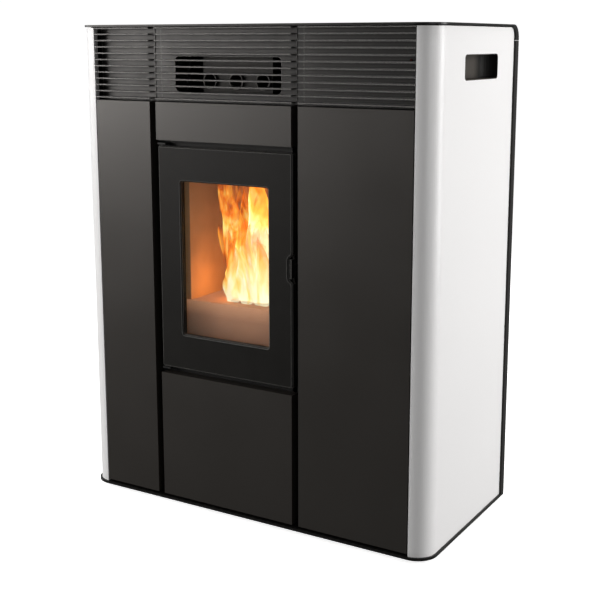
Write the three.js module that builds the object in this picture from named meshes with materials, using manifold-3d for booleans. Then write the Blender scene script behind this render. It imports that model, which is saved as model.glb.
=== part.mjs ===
// Wide, shallow pellet stove. Millimetres, +Z up, front towards -Y, origin on the floor under the
// middle of the overall box. Front elevations are given by x and z, and "behind" is the distance
// behind the front plane.
import * as THREE from 'three';
import { mergeVertices } from 'three/addons/utils/BufferGeometryUtils.js';
import Module from 'manifold-3d';

const wasm = await Module();
wasm.setup();

// ---------------------------------------------------------------- driving dimensions
// casing
const bodyWidth = 900;
const bodyDepth = 430;
const bodyHeight = 1105;
const footReach = 10;
const plateOverhang = 4.5;
const baseThickness = 6;
const topThickness = 4.5;
const topShadowGap = 2;
const cornerRadius = 43.6;
const sideSheet = 2;
const sideReturn = 13;
const rearBand = 18;
const rearSheet = 1.5;
const rearRimSheet = 3;
const rearBendRadius = 30;
const sideTopRadius = 18;
const coverDrop = 34.5;
const coverSeam = 0.6;
const clearance = 0.3;
// how far a cutting or joined block runs past the face it meets
const past = 1;

// front elevation
const frontSeam = 2.6;
const grooveWidth = 16.8;
const leftPanelWidth = 154.4;
const centreWidth = 354.8;
const panelSheet = 1.5;
const panelDepth = 28;
const panelFoot = 4.8;
const grilleHeight = 165;
const doorGap = 13.5;
const doorHeight = 514.5;
const upperPanelGap = 13;
const upperPanelHeight = 84.5;

// grille
const slatPitch = 14.12;
const slatHeight = 3.3;
const slatDepth = 26.5;
const slatNose = 1;
const slatTail = 2;
const webSheet = 1.6;
const backingSheet = 1.5;
const grilleGap = 2.1;
const firstSlatTop = 8.9;
const topSlatDrop = 0.8;
const windowWidth = 278;
const windowHeight = 77.6;
const windowAboveGrille = 23;
const windowRadius = 10;
const receiverRadius = 2.4;
const receiverLength = 3;
const receiverInset = 19;
const receiverAboveSlat = 3.4;
const receiverSlat = 6;

// frame behind the panels
const frameSheet = 2;
const frameSideInset = 12;
const frameVentMargin = 12;

// hand grips
const gripWidth = 180;
const gripHeight = 53;
const gripRadius = 9;
const gripBehind = 138;
const gripTopDrop = 56;
const gripDepth = 32;
const gripWall = 1.6;
const gripFlange = 6;
const gripCurve = 26;

// feet
const footRadius = 19;
const footStemRadius = 5;
const footStemLength = 30;
const footInset = 75;
const footTravelRoom = 0.8;

// door
const doorInset = 4;
const doorThickness = 18;
const doorChamfer = 3;
const doorCornerRadius = 6;
const windowCornerRadius = 5;
const windowSideMargin = 61.5;
const windowTopMargin = 78;
const windowBottomMargin = 83.5;
const glassLap = 9;
const glassThickness = 4;
const glassBehindFace = 10;
const retainerThickness = 3;
const retainerLap = 1;
const retainerCorner = 2;
const gasketInset = 15;
const gasketWidth = 9;
const gasketGroove = 6;
const gasketCorner = 12;
const gasketBevel = 1.5;
const notchHeight = 60;
const notchDepth = 11;
const notchRadius = 8;
const notchRise = 235.6;
const leverThickness = 4;
const leverEndGap = 9;
const leverFrontInset = 2;
const leverPinRadius = 1.8;
const leverPinLength = 4;
const leverTailHeight = 18;
const leverTailReach = 22;
const leverTailThickness = 3;
const leverSwingRoom = 8;
const leverSideRoom = 4;
const hingeInset = 8;
const hingeBehindFace = 10;
const hingeLeafLap = 2;
const hingePinRadius = 4;
const hingePinLength = 20;
const hingeLeafThickness = 4;
const hingeLeafWidth = 22;
const hingeLeafGap = 2;
const boreClearance = 0.4;

// firebox
const fireboxSideInset = 27.4;
const fireboxDepth = 193;
const fireboxWall = 4;
const fireboxRise = 6.5;
const mouthMargin = 24.5;
const liner = 15;
const linerTopGap = 34;
const linerBehindGuard = 8;
const ribCount = 7;
const ribDepth = 3;
const ribGap = 11.5;
const deckRise = 144;
const deckThickness = 4;
const railWidth = 10;
const railHeight = 12;
const deckFrontGap = 32;
const exchangerTubeMargin = 4.5;
const exchangerHeight = 132;
const exchangerTopGap = 48.5;
const exchangerWall = 3;
const exchangerFront = 66;
const roofHoleMargin = 14;
const tubeRadius = 17.5;
const tubeWall = 2;
const tubePitch = 70;
const tubeCount = 3;
const tubeProud = 6;
const tubeRise = 62;
const baffleThickness = 12;
const baffleLength = 130;
const baffleRise = 8.4;
const guardPlateRise = 3;
const guardPlateHeight = 84;
const guardPlateFront = 56;
const guardPlateSheet = 3;
const guardPlateLip = 14;
const guardPlateSideGap = 2;

// burner
const potLength = 96;
const potDepth = 76;
const potHeight = 50;
const potWall = 4;
const potRadius = 14;
const potRim = 6;
const potRimThickness = 4;
const potBehind = 140;
const potHoleRadius = 3;
const potHoleColumns = 4;
const potHoleRows = 3;
const potHolePitch = 17;
const airBoxWall = 3;
const airBoxMargin = 9;
const airBoxHeight = 60;
const airPipeRadius = 25;
const airPipeWall = 1.5;
const airPipeSide = 74.75;
const airPipeRise = 28;
const rearReach = 30;
const igniterRadius = 4.5;
const igniterRise = 28;
const igniterTail = 18;
const ashPanTopGap = 22;
const ashPanSheet = 1.5;
const ashPanSideGap = 8;
const ashPanFrontGap = 12;
const ashGripLength = 90;
const ashGripReach = 7;

// pellet feed
const hopperColumnGap = 42.8;
const hopperSideGap = 41;
const hopperFront = 45;
const hopperRearGap = 35;
const hopperSheet = 1.5;
const funnelHeight = 225;
const neckHeight = 54;
const neckWidth = 40;
const neckBehindAuger = 16;
const guardDrop = 22;
const guardBar = 4;
const guardPitch = 34;
const guardEdge = 7;
const guardRows = 3;
const augerLowSide = 94;
const augerLowRise = 80;
const augerHighSide = 45.2;
const augerHighRise = 350;
const neckRise = 26;
const augerTubeRadius = 32;
const augerTubeWall = 3;
const augerShaftRadius = 9;
const flightRadius = 27;
const flightPitch = 46;
const flightThickness = 3;
const flightSteps = 8;
const flightRoot = 1.5;
const augerEndGap = 6;
const augerEndPlate = 4;
const augerCollarRadius = 38;
const motorStub = 30;
const motorWidth = 74;
const motorLength = 62;
const motorDepth = 60;
const motorCanRadius = 24;
const motorCanLength = 40;
const chuteHalfWidth = 24;
const chuteSheet = 2;
const chuteStartSide = 10;
const chuteStartDrop = 40;
const chuteRun = 100;
const chuteDrop = 21;

// room air fan
const ductDepth = 72;
const ductSheet = 1.5;
const ductRise = 260;
const rotorRadius = 28;
const rotorRise = 40;
const rotorBlades = 14;
const rotorBladeSheet = 1.4;
const rotorBladeWidth = 9;
const rotorDisc = 2;
const rotorSideGap = 5;
const rotorBladeLean = 35;
const rotorBladeInset = 1;
const fanShaftRadius = 4;
const fanMotorRadius = 27;
const fanMotorLength = 44;
const fanMotorPlay = 3;

// smoke fan
const voluteSide = -80;
const voluteRise = 70;
const voluteRadius = 92;
const voluteDepth = 50;
const voluteWall = 3;
const collarRadius = 38;
const collarLength = 18;
const spigotRadius = 40;
const spigotWall = 2;
const spigotSide = 68;
const spigotDrop = 84;
const outletHalf = 44;
const impellerRadius = 72;
const impellerHub = 14;
const impellerDisc = 2;
const impellerBlades = 8;
const impellerBladeHeight = 26;
const impellerBladeSheet = 2;
const impellerGap = 8;
const impellerCurve = 64.8;
const impellerRoot = 4;
const smokeMotorRadius = 38;
const smokeMotorLength = 66;
const smokeMotorStep = 46;
const smokeMotorTail = 26.6;

// hopper lid and controls
const lidMargin = 12;
const lidLength = 235;
const lidSideGap = 1.5;
const lidFrontBehind = 62;
const barrelRadius = 3.4;
const barrelPinRadius = 1.6;
const barrelLength = 34;
const barrelGap = 0.5;
const barrelInset = 26;
const lidLipGap = 2;
const controlSide = 120;
const controlLength = 140;
const controlWidth = 74;
const controlBehind = 170;
const controlFlange = 5;
const controlBody = 12;
const controlRadius = 8;
const buttonCount = 3;
const buttonRadius = 7;
const buttonPitch = 24;
const buttonHeight = 6;
const buttonSunk = 0.4;
const buttonTravel = 1.5;
const buttonStem = 2;
const buttonRow = 20.7;
const buttonWellRoom = 0.5;
const boardLength = 170;
const boardHeight = 120;
const boardThickness = 2;
const boardSide = 30;
const boardBehind = 120;
const boardFoot = 34;
const boardBracket = 3;
const boardFootSheet = 2;
const boardEnd = 10;
// parts on the board: along it, up from the floor plate, width, height, depth
const boardParts = [
  [12, 90, 34, 30, 26],
  [58, 96, 20, 24, 18],
  [84, 96, 20, 24, 18],
  [116, 60, 40, 16, 14],
  [20, 50, 26, 26, 6],
];
const inletWidth = 28;
const inletHeight = 62;
const inletDepth = 26;
const inletFlange = 4;
const inletLip = 2;
const inletSide = 80;
const inletZ = 110;
const socketWidth = 22;
const socketHeight = 16;
const socketDepth = 16;
const socketPinSheet = 2;
const socketRise = 16.7;
const socketPinPitch = 7;
const socketPinHeight = 4;
const socketPinDrop = 3;
const socketPinSunk = 3;
const rockerWidth = 15;
const rockerHeight = 21;
const rockerDepth = 11;
const rockerPinRadius = 1.4;
const rockerPinEnd = 2;
const rockerRise = 45.9;
const rockerRoom = 5;
const rockerEndRoom = 2;
const rockerBack = 3;
const rockerBackHalf = 5.2;
const rockerKick = 3;
const rockerDip = 2;

// rear tray
const ventSlotLength = 96;
const ventSlotHeight = 5;
const ventSlotPitch = 16;
const ventSlotRows = 7;
const ventBankSide = 190;
const ventBankZ = 250;

// ---------------------------------------------------------------- derived places
const rearOverrun = rearReach - plateOverhang;
const front = -bodyDepth / 2 - rearOverrun / 2;
const behind = (distance) => front + distance;
const rear = behind(bodyDepth);
const halfWidth = bodyWidth / 2;
const rimX = halfWidth + plateOverhang;
const frontEdgeX = halfWidth - cornerRadius;
const baseTop = footReach + baseThickness;
const overallTop = footReach + bodyHeight;
const plateUnder = overallTop - topThickness;
const sideTop = plateUnder - topShadowGap;
const sideRearEnd = bodyDepth - rearBand;

const panelLeftX = -(frontEdgeX - frontSeam);
const panelRightX = frontEdgeX - frontSeam;
const columnLeft = panelLeftX + leftPanelWidth + grooveWidth;
const columnRight = columnLeft + centreWidth;
const columnX = (columnLeft + columnRight) / 2;
const rightPanelLeft = columnRight + grooveWidth;
const panelBottom = baseTop + panelFoot;
const panelTop = plateUnder - grilleHeight;
const upperPanelBottom = panelTop - upperPanelHeight;
const doorTop = upperPanelBottom - upperPanelGap;
const doorBottom = doorTop - doorHeight;
const lowerPanelTop = doorBottom - doorGap;

const grilleBottom = panelTop + grilleGap;
const slatCount = 1 + Math.floor((grilleHeight - firstSlatTop) / slatPitch);
const slatTops = slatHeights();
const windowBottom = panelTop + windowAboveGrille;
const frameSideX = halfWidth - frameSideInset;
const frameBack = panelDepth + frameSheet;

const doorRear = doorInset + doorThickness;
const glassFront = doorInset + glassBehindFace;
const windowLeft = columnLeft + windowSideMargin;
const windowRight = columnRight - windowSideMargin;
const glassBottomZ = doorBottom + windowBottomMargin;
const glassTopZ = doorTop - windowTopMargin;
const hingeX = columnLeft + hingeInset;
const hingeBehind = doorInset + hingeBehindFace;
const notchBottom = doorBottom + notchRise;

const fireLeft = columnLeft + fireboxSideInset;
const fireRight = columnRight - fireboxSideInset;
const fireBack = frameBack + fireboxDepth;
const fireOuterBack = fireBack + fireboxWall;
const fireboxFloor = doorBottom + fireboxRise;
const exchangerTop = plateUnder - exchangerTopGap;
const fireTop = exchangerTop - exchangerHeight;
const exchangerWidth = (tubeCount - 1) * tubePitch + 2 * (tubeRadius + exchangerTubeMargin);
const tubeHeight = fireTop + tubeRise;
const deckHeight = fireboxFloor + deckRise;
const linerTop = fireTop - linerTopGap;
const airBoxBottom = deckHeight - deckThickness - airBoxHeight;
const voluteX = columnX + voluteSide;
const voluteHeight = fireboxFloor + voluteRise;
const voluteFront = fireOuterBack + collarLength;
const voluteBack = voluteFront + voluteDepth;
const spigotX = voluteX + spigotSide;
const spigotZ = voluteHeight - spigotDrop;
const airPipeX = columnX + airPipeSide;
const airPipeZ = airBoxBottom + airPipeRise;
const rotorBehind = fireOuterBack + ductDepth / 2;
const ductBottom = fireboxFloor + ductRise;
const rotorHeight = ductBottom + rotorRise;
const augerBehind = potBehind;
const augerLowX = halfWidth - augerLowSide;
const augerLowZ = fireboxFloor + augerLowRise;
const augerHighX = fireRight + augerHighSide;
const augerHighZ = fireboxFloor + augerHighRise;
const chuteStartX = augerHighX + chuteStartSide;
const chuteStartZ = augerHighZ - chuteStartDrop;
const augerLength = Math.hypot(augerHighX - augerLowX, augerHighZ - augerLowZ);
const augerTilt = Math.atan2(augerHighX - augerLowX, augerHighZ - augerLowZ);
const hopperLeft = columnRight + hopperColumnGap;
const hopperRight = halfWidth - hopperSideGap;
const hopperRear = bodyDepth - hopperRearGap;
const mouthLeft = augerLowX - neckBehindAuger;
const mouthRight = mouthLeft + neckWidth;
const neckBottom = augerLowZ + neckRise;
const funnelBottom = neckBottom + neckHeight;
const funnelTop = funnelBottom + funnelHeight;
const controlLeft = -halfWidth + controlSide;
const boardX = -halfWidth + boardSide;
const inletX = -halfWidth + inletSide;
const ventBankX = halfWidth - ventBankSide;

function slatHeights() {
  return Array.from({ length: slatCount }, (_, i) => panelTop + firstSlatTop + i * slatPitch);
}

// ---------------------------------------------------------------- solids
function solid(geometry) {
  const bare = geometry.index ? geometry.toNonIndexed() : geometry.clone();
  bare.deleteAttribute('normal');
  bare.deleteAttribute('uv');
  const merged = mergeVertices(bare, 1e-4);
  return new wasm.Manifold(new wasm.Mesh({
    numProp: 3,
    vertProperties: new Float32Array(merged.attributes.position.array),
    triVerts: new Uint32Array(merged.index.array),
  }));
}

function block(x0, x1, y0, y1, z0, z1) {
  const geometry = new THREE.BoxGeometry(x1 - x0, y1 - y0, z1 - z0);
  geometry.translate((x0 + x1) / 2, (y0 + y1) / 2, (z0 + z1) / 2);
  return solid(geometry);
}

const toXZ = new THREE.Matrix4().makeBasis(
  new THREE.Vector3(1, 0, 0), new THREE.Vector3(0, 0, 1), new THREE.Vector3(0, -1, 0));
const toYZ = new THREE.Matrix4().makeBasis(
  new THREE.Vector3(0, 1, 0), new THREE.Vector3(0, 0, 1), new THREE.Vector3(1, 0, 0));

function extrude(shape, depth, bevel = 0, curveSegments = 3) {
  return new THREE.ExtrudeGeometry(shape, {
    depth: depth - 2 * bevel,
    curveSegments,
    bevelEnabled: bevel > 0,
    bevelThickness: bevel,
    bevelSize: bevel,
    bevelOffset: -bevel,
    bevelSegments: 1,
  }).translate(0, 0, bevel);
}

function alongZ(shape, z0, z1, segments) {
  return solid(extrude(shape, z1 - z0, 0, segments).translate(0, 0, z0));
}

function alongY(shape, y0, y1, bevel = 0, segments = 3) {
  return solid(extrude(shape, y1 - y0, bevel, segments).applyMatrix4(toXZ).translate(0, y1, 0));
}

function alongX(shape, x0, x1, segments) {
  return solid(extrude(shape, x1 - x0, 0, segments).applyMatrix4(toYZ).translate(x0, 0, 0));
}

function rodZ(radius, x, y, z0, z1, sides = 12) {
  const geometry = new THREE.CylinderGeometry(radius, radius, z1 - z0, sides);
  return solid(geometry.rotateX(Math.PI / 2).translate(x, y, (z0 + z1) / 2));
}

function rodY(radius, x, z, y0, y1, sides = 12) {
  const geometry = new THREE.CylinderGeometry(radius, radius, y1 - y0, sides);
  return solid(geometry.translate(x, (y0 + y1) / 2, z));
}

function rodX(radius, y, z, x0, x1, sides = 12) {
  const geometry = new THREE.CylinderGeometry(radius, radius, x1 - x0, sides);
  return solid(geometry.rotateZ(Math.PI / 2).translate((x0 + x1) / 2, y, z));
}

function join(...parts) {
  return parts.reduce((sum, part) => sum.add(part));
}

function cut(body, ...tools) {
  return tools.reduce((rest, tool) => rest.subtract(tool), body);
}

function polygon(points) {
  return new THREE.Shape(points.map(([a, b]) => new THREE.Vector2(a, b)));
}

function rounded(x0, x1, z0, z1, radius) {
  const shape = new THREE.Shape();
  shape.moveTo(x0 + radius, z0);
  shape.lineTo(x1 - radius, z0);
  shape.absarc(x1 - radius, z0 + radius, radius, -Math.PI / 2, 0, false);
  shape.lineTo(x1, z1 - radius);
  shape.absarc(x1 - radius, z1 - radius, radius, 0, Math.PI / 2, false);
  shape.lineTo(x0 + radius, z1);
  shape.absarc(x0 + radius, z1 - radius, radius, Math.PI / 2, Math.PI, false);
  shape.lineTo(x0, z0 + radius);
  shape.absarc(x0 + radius, z0 + radius, radius, Math.PI, Math.PI * 1.5, false);
  return shape;
}

// A closed skin through rings of the same number of points, with flat ends.
function loft(rings) {
  const count = rings[0].length;
  const points = rings.flat().flatMap((p) => p);
  const faces = [];
  for (let r = 0; r < rings.length - 1; r += 1) {
    for (let i = 0; i < count; i += 1) {
      const a = r * count + i;
      const b = r * count + ((i + 1) % count);
      faces.push(a, b, b + count, a, b + count, a + count);
    }
  }
  const last = (rings.length - 1) * count;
  for (let i = 1; i < count - 1; i += 1) {
    faces.push(0, i + 1, i);
    faces.push(last, last + i, last + i + 1);
  }
  const geometry = new THREE.BufferGeometry();
  geometry.setAttribute('position', new THREE.Float32BufferAttribute(points, 3));
  geometry.setIndex(faces);
  return solid(geometry);
}

// ---------------------------------------------------------------- materials
function finish(color, roughness, metalness) {
  return new THREE.MeshStandardMaterial({ color, roughness, metalness });
}

const whitePaint = finish(0xe9e8e6, 0.35, 0.1);
const blackPaint = finish(0x34322f, 0.45, 0.2);
const framePaint = finish(0x171614, 0.7, 0.1);
const castIron = finish(0x2c2b2a, 0.6, 0.4);
const steel = finish(0x8d8b87, 0.4, 0.8);
const galvanised = finish(0xa5a7a8, 0.5, 0.7);
const brick = finish(0xb9a183, 0.95, 0);
const rubber = finish(0x1b1b1b, 0.9, 0);
const plastic = finish(0x202122, 0.5, 0);
const rope = finish(0x55524d, 1, 0);
const ceramicGlass = finish(0x3a2c22, 0.05, 0);
const boardGreen = finish(0x1f5a3a, 0.6, 0.1);
const receiverRed = finish(0x5c1714, 0.2, 0);

const stove = new THREE.Group();

function add(name, body, material) {
  const mesh = body.getMesh();
  const geometry = new THREE.BufferGeometry();
  geometry.setAttribute('position', new THREE.BufferAttribute(mesh.vertProperties, 3));
  geometry.setIndex(new THREE.BufferAttribute(mesh.triVerts, 1));
  geometry.computeVertexNormals();
  const node = new THREE.Mesh(geometry, material);
  node.name = name;
  stove.add(node);
}

// ---------------------------------------------------------------- casing
function plateOutline(sideX, frontBehind, rearBehind, radius) {
  const shape = new THREE.Shape();
  const y0 = behind(frontBehind);
  shape.moveTo(sideX, behind(rearBehind));
  shape.lineTo(-sideX, behind(rearBehind));
  shape.lineTo(-sideX, y0 + radius);
  shape.absarc(-sideX + radius, y0 + radius, radius, Math.PI, Math.PI * 1.5, false);
  shape.lineTo(sideX - radius, y0);
  shape.absarc(sideX - radius, y0 + radius, radius, -Math.PI / 2, 0, false);
  return shape;
}

function footPlaces() {
  const x = halfWidth - footInset;
  return [
    ['front_left', -x, behind(footInset)],
    ['front_right', x, behind(footInset)],
    ['rear_left', -x, rear - footInset],
    ['rear_right', x, rear - footInset],
  ];
}

function makeBase() {
  const radius = cornerRadius + plateOverhang;
  let plate = alongZ(plateOutline(rimX, -plateOverhang, bodyDepth, radius), footReach, baseTop, 6);
  for (const [, x, y] of footPlaces()) {
    plate = plate.subtract(rodZ(footStemRadius + footTravelRoom, x, y, 0, baseTop + footReach));
  }
  add('base_plate', plate, blackPaint);
}

function makeFeet() {
  for (const [place, x, y] of footPlaces()) {
    const disc = rodZ(footRadius, x, y, 0, footReach, 20);
    const stem = rodZ(footStemRadius, x, y, footReach / 2, footReach + footStemLength, 12);
    add(`levelling_foot_${place}`, disc.add(stem), rubber);
  }
}

function sideProfile() {
  const shape = new THREE.Shape();
  const centreY = behind(cornerRadius);
  const inner = cornerRadius - sideSheet;
  shape.moveTo(frontEdgeX, front);
  shape.absarc(frontEdgeX, centreY, cornerRadius, -Math.PI / 2, 0, false);
  shape.lineTo(halfWidth, behind(sideRearEnd));
  shape.lineTo(halfWidth - sideSheet, behind(sideRearEnd));
  shape.lineTo(halfWidth - sideSheet, centreY);
  shape.absarc(frontEdgeX, centreY, inner, 0, -Math.PI / 2, true);
  return shape;
}

function sideElevation() {
  const shape = new THREE.Shape();
  const y1 = behind(sideRearEnd);
  shape.moveTo(front - past, baseTop);
  shape.lineTo(y1, baseTop);
  shape.lineTo(y1, sideTop - sideTopRadius);
  shape.absarc(y1 - sideTopRadius, sideTop - sideTopRadius, sideTopRadius, 0, Math.PI / 2, false);
  shape.lineTo(front - past, sideTop);
  return shape;
}

function gripOutline(grow) {
  const y0 = behind(gripBehind);
  const z1 = sideTop - gripTopDrop + grow;
  const z0 = sideTop - gripTopDrop - gripHeight - grow;
  return rounded(y0 - grow, y0 + gripWidth + grow, z0, z1, gripRadius + grow);
}

function makeSidePanel() {
  const wrap = alongZ(sideProfile(), baseTop, sideTop, 8);
  const fold = block(frontEdgeX, frontEdgeX + sideSheet, front, behind(sideReturn), baseTop, sideTop);
  const hem = block(halfWidth - sideReturn, halfWidth, behind(sideRearEnd - sideSheet),
    behind(sideRearEnd), baseTop, sideTop);
  const whole = join(wrap, fold, hem);
  const trimmed = whole.intersect(alongX(sideElevation(), 0, bodyWidth, 5));
  return trimmed.subtract(alongX(gripOutline(0), halfWidth - 2 * gripDepth, bodyWidth));
}

// The pocket is bowed: its floor curves up to the panel at both ends.
function gripBow(grow) {
  const shape = new THREE.Shape();
  const y0 = behind(gripBehind) - grow;
  const y1 = behind(gripBehind) + gripWidth + grow;
  const floor = halfWidth - gripDepth - grow;
  const curve = gripCurve + grow;
  shape.moveTo(halfWidth, y1);
  shape.lineTo(floor + curve, y1);
  shape.absarc(floor + curve, y1 - curve, curve, Math.PI / 2, Math.PI, false);
  shape.lineTo(floor, y0 + curve);
  shape.absarc(floor + curve, y0 + curve, curve, Math.PI, Math.PI * 1.5, false);
  shape.lineTo(halfWidth, y0);
  return shape;
}

function makeGripCup() {
  const low = sideTop - gripTopDrop - 2 * gripHeight;
  const inner = -clearance - gripWall;
  const shell = alongX(gripOutline(-clearance), halfWidth - 2 * gripDepth, halfWidth)
    .intersect(alongZ(gripBow(-clearance), low, sideTop, 3));
  const hollow = alongX(gripOutline(inner), halfWidth - 2 * gripDepth, halfWidth + past)
    .intersect(alongZ(gripBow(inner), low, sideTop, 3)
      .add(alongX(gripOutline(inner), halfWidth - past, halfWidth + past)));
  const flangeX = halfWidth - sideSheet - clearance;
  const flange = alongX(gripOutline(gripFlange), flangeX - gripWall, flangeX);
  return shell.add(flange).subtract(hollow);
}

function makeSides() {
  const panel = makeSidePanel();
  const cup = makeGripCup();
  add('right_side_panel', panel, whitePaint);
  add('left_side_panel', panel.mirror([1, 0, 0]), whitePaint);
  add('right_grip_cup', cup, plastic);
  add('left_grip_cup', cup.mirror([1, 0, 0]), plastic);
}

// ---------------------------------------------------------------- top
function coverProfile() {
  const shape = new THREE.Shape();
  const centreY = rear - rearBendRadius;
  const centreZ = overallTop - rearBendRadius;
  const low = overallTop - coverDrop;
  const inner = rearBendRadius - topThickness;
  shape.moveTo(centreY - past, plateUnder);
  shape.lineTo(centreY, plateUnder);
  shape.absarc(centreY, centreZ, inner, Math.PI / 2, 0, true);
  shape.lineTo(rear - topThickness, low);
  shape.lineTo(rear, low);
  shape.lineTo(rear, centreZ);
  shape.absarc(centreY, centreZ, rearBendRadius, 0, Math.PI / 2, false);
  shape.lineTo(centreY - past, overallTop);
  return shape;
}

// The cheek closes the bend at each side and runs round the side panel's top corner.
function cheekProfile() {
  const shape = new THREE.Shape();
  const centreY = rear - rearBendRadius;
  const centreZ = overallTop - rearBendRadius;
  const low = overallTop - coverDrop;
  const innerY = behind(sideRearEnd);
  const start = innerY - sideTopRadius;
  shape.moveTo(start, plateUnder);
  shape.lineTo(start, sideTop);
  shape.absarc(start, sideTop - sideTopRadius, sideTopRadius, Math.PI / 2, 0, true);
  shape.lineTo(innerY, low);
  shape.lineTo(rear, low);
  shape.lineTo(rear, centreZ);
  shape.absarc(centreY, centreZ, rearBendRadius, 0, Math.PI / 2, false);
  shape.lineTo(start, overallTop);
  return shape;
}

const lidLeft = hopperLeft + lidMargin;
const lidRight = hopperRight - lidMargin;
const lidRear = lidFrontBehind + lidLength;
const barrelBehind = lidRear + barrelRadius + barrelGap;
const barrelZ = overallTop - barrelRadius;
const lidHoleRear = barrelBehind + barrelRadius + lidLipGap;

function barrelPlaces() {
  return [lidLeft + barrelInset, lidRight - barrelInset - barrelLength];
}

function makeTop() {
  const radius = cornerRadius + plateOverhang;
  const flatEnd = bodyDepth - rearBendRadius;
  const flat = alongZ(plateOutline(rimX, -plateOverhang, flatEnd, radius), plateUnder, overallTop, 6);
  const bend = alongX(coverProfile(), -rimX, rimX, 6);
  const cheekShape = cheekProfile();
  const cheeks = [-rimX, rimX - rearRimSheet].map((x) => alongX(cheekShape, x, x + rearRimSheet, 6));
  const hole = block(lidLeft - lidSideGap, lidRight + lidSideGap, behind(lidFrontBehind - lidSideGap),
    behind(lidHoleRear), plateUnder - past, overallTop + past);
  let top = cut(join(flat, bend, ...cheeks), hole);
  for (const x of barrelPlaces()) {
    for (const end of [x - barrelGap - barrelRadius, x + barrelLength + barrelGap]) {
      const lug = join(
        rodX(barrelRadius, behind(barrelBehind), barrelZ, end, end + barrelRadius),
        block(end, end + barrelRadius, behind(barrelBehind), behind(lidHoleRear) + past,
          plateUnder, barrelZ + barrelRadius / 2));
      top = top.add(lug);
    }
  }
  const pinHole = rodX(barrelPinRadius + clearance, behind(barrelBehind), barrelZ, lidLeft, lidRight, 12);
  const panelHole = alongZ(controlOutline(clearance), plateUnder - past, overallTop + past);
  add('top_plate', cut(top, pinHole, panelHole), blackPaint);
}

function makeLid() {
  let lid = block(lidLeft, lidRight, behind(lidFrontBehind), behind(lidRear), plateUnder, overallTop);
  const y = behind(barrelBehind);
  for (const x of barrelPlaces()) {
    const barrel = rodX(barrelRadius, y, barrelZ, x, x + barrelLength);
    const tongue = block(x, x + barrelLength, behind(lidRear) - past, y, plateUnder, barrelZ + past);
    lid = join(lid, barrel, tongue);
  }
  const bore = rodX(barrelPinRadius + clearance, y, barrelZ, lidLeft, lidRight, 12);
  add('hopper_lid', lid.subtract(bore), blackPaint);
  const reach = barrelRadius + barrelGap;
  const [first, last] = barrelPlaces();
  const pin = rodX(barrelPinRadius, y, barrelZ, first - reach, last + barrelLength + reach, 12);
  add('lid_hinge_pin', pin, steel);
}

// ---------------------------------------------------------------- rear tray
function makeBackPanel() {
  const top = overallTop - coverDrop - coverSeam;
  const sheet = block(-rimX, rimX, rear - rearSheet, rear, baseTop, top);
  const parts = [sheet];
  for (const side of [-1, 1]) {
    const rim = side < 0 ? [-rimX, -rimX + rearRimSheet] : [rimX - rearRimSheet, rimX];
    const lip = side < 0 ? [-rimX, -halfWidth + sideReturn] : [halfWidth - sideReturn, rimX];
    const y0 = behind(sideRearEnd) + clearance;
    parts.push(block(rim[0], rim[1], y0, rear, baseTop, top));
    parts.push(block(lip[0], lip[1], y0, y0 + rearSheet, baseTop, top));
  }
  const holes = [
    rodY(spigotRadius + clearance * 3, spigotX, spigotZ, rear - rearBand, rear + past, 32),
    rodY(airPipeRadius + clearance * 3, airPipeX, airPipeZ, rear - rearBand, rear + past, 24),
    block(inletX - inletWidth / 2 - clearance, inletX + inletWidth / 2 + clearance,
      rear - rearBand, rear + past, inletZ - clearance, inletZ + inletHeight + clearance),
  ];
  for (const x of [-ventBankX, ventBankX]) {
    for (let row = 0; row < ventSlotRows; row += 1) {
      const z = ventBankZ + row * ventSlotPitch;
      holes.push(block(x - ventSlotLength / 2, x + ventSlotLength / 2, rear - rearBand, rear + past,
        z, z + ventSlotHeight));
    }
  }
  add('back_panel', cut(join(...parts), ...holes), blackPaint);
}

// ---------------------------------------------------------------- front panels
function tray(x0, x1, z0, z1) {
  const outer = block(x0, x1, front, behind(panelDepth), z0, z1);
  const hollow = block(x0 + panelSheet, x1 - panelSheet, behind(panelSheet), behind(panelDepth) + past,
    z0 + panelSheet, z1 - panelSheet);
  return outer.subtract(hollow);
}

function makeFrontPanels() {
  const leftPanelRight = panelLeftX + leftPanelWidth;
  add('left_front_panel', tray(panelLeftX, leftPanelRight, panelBottom, panelTop), blackPaint);
  add('right_front_panel', tray(rightPanelLeft, panelRightX, panelBottom, panelTop), blackPaint);
  add('lower_centre_panel', tray(columnLeft, columnRight, panelBottom, lowerPanelTop), blackPaint);
  add('upper_centre_panel', tray(columnLeft, columnRight, upperPanelBottom, panelTop), blackPaint);
}

// ---------------------------------------------------------------- grille
function ventOutline(grow) {
  const x0 = columnX - windowWidth / 2 - grow;
  const z0 = windowBottom - grow;
  return rounded(x0, x0 + windowWidth + 2 * grow, z0, z0 + windowHeight + 2 * grow, windowRadius + grow);
}

function slatProfile(top) {
  const y0 = front;
  const y1 = behind(slatDepth);
  const low = top - slatHeight;
  return polygon([
    [y0, low + slatNose], [y0 + slatNose, low], [y1, top - slatTail], [y1, top],
    [y0 + slatNose, top], [y0, top - slatNose],
  ]);
}

function comb(x0, x1) {
  const top = slatTops[slatTops.length - 1] - topSlatDrop;
  let body = block(x0, x1, behind(slatDepth - webSheet), behind(slatDepth), grilleBottom, top);
  for (const z of slatTops) body = body.add(alongX(slatProfile(Math.min(z, top)), x0, x1));
  return body;
}

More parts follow.
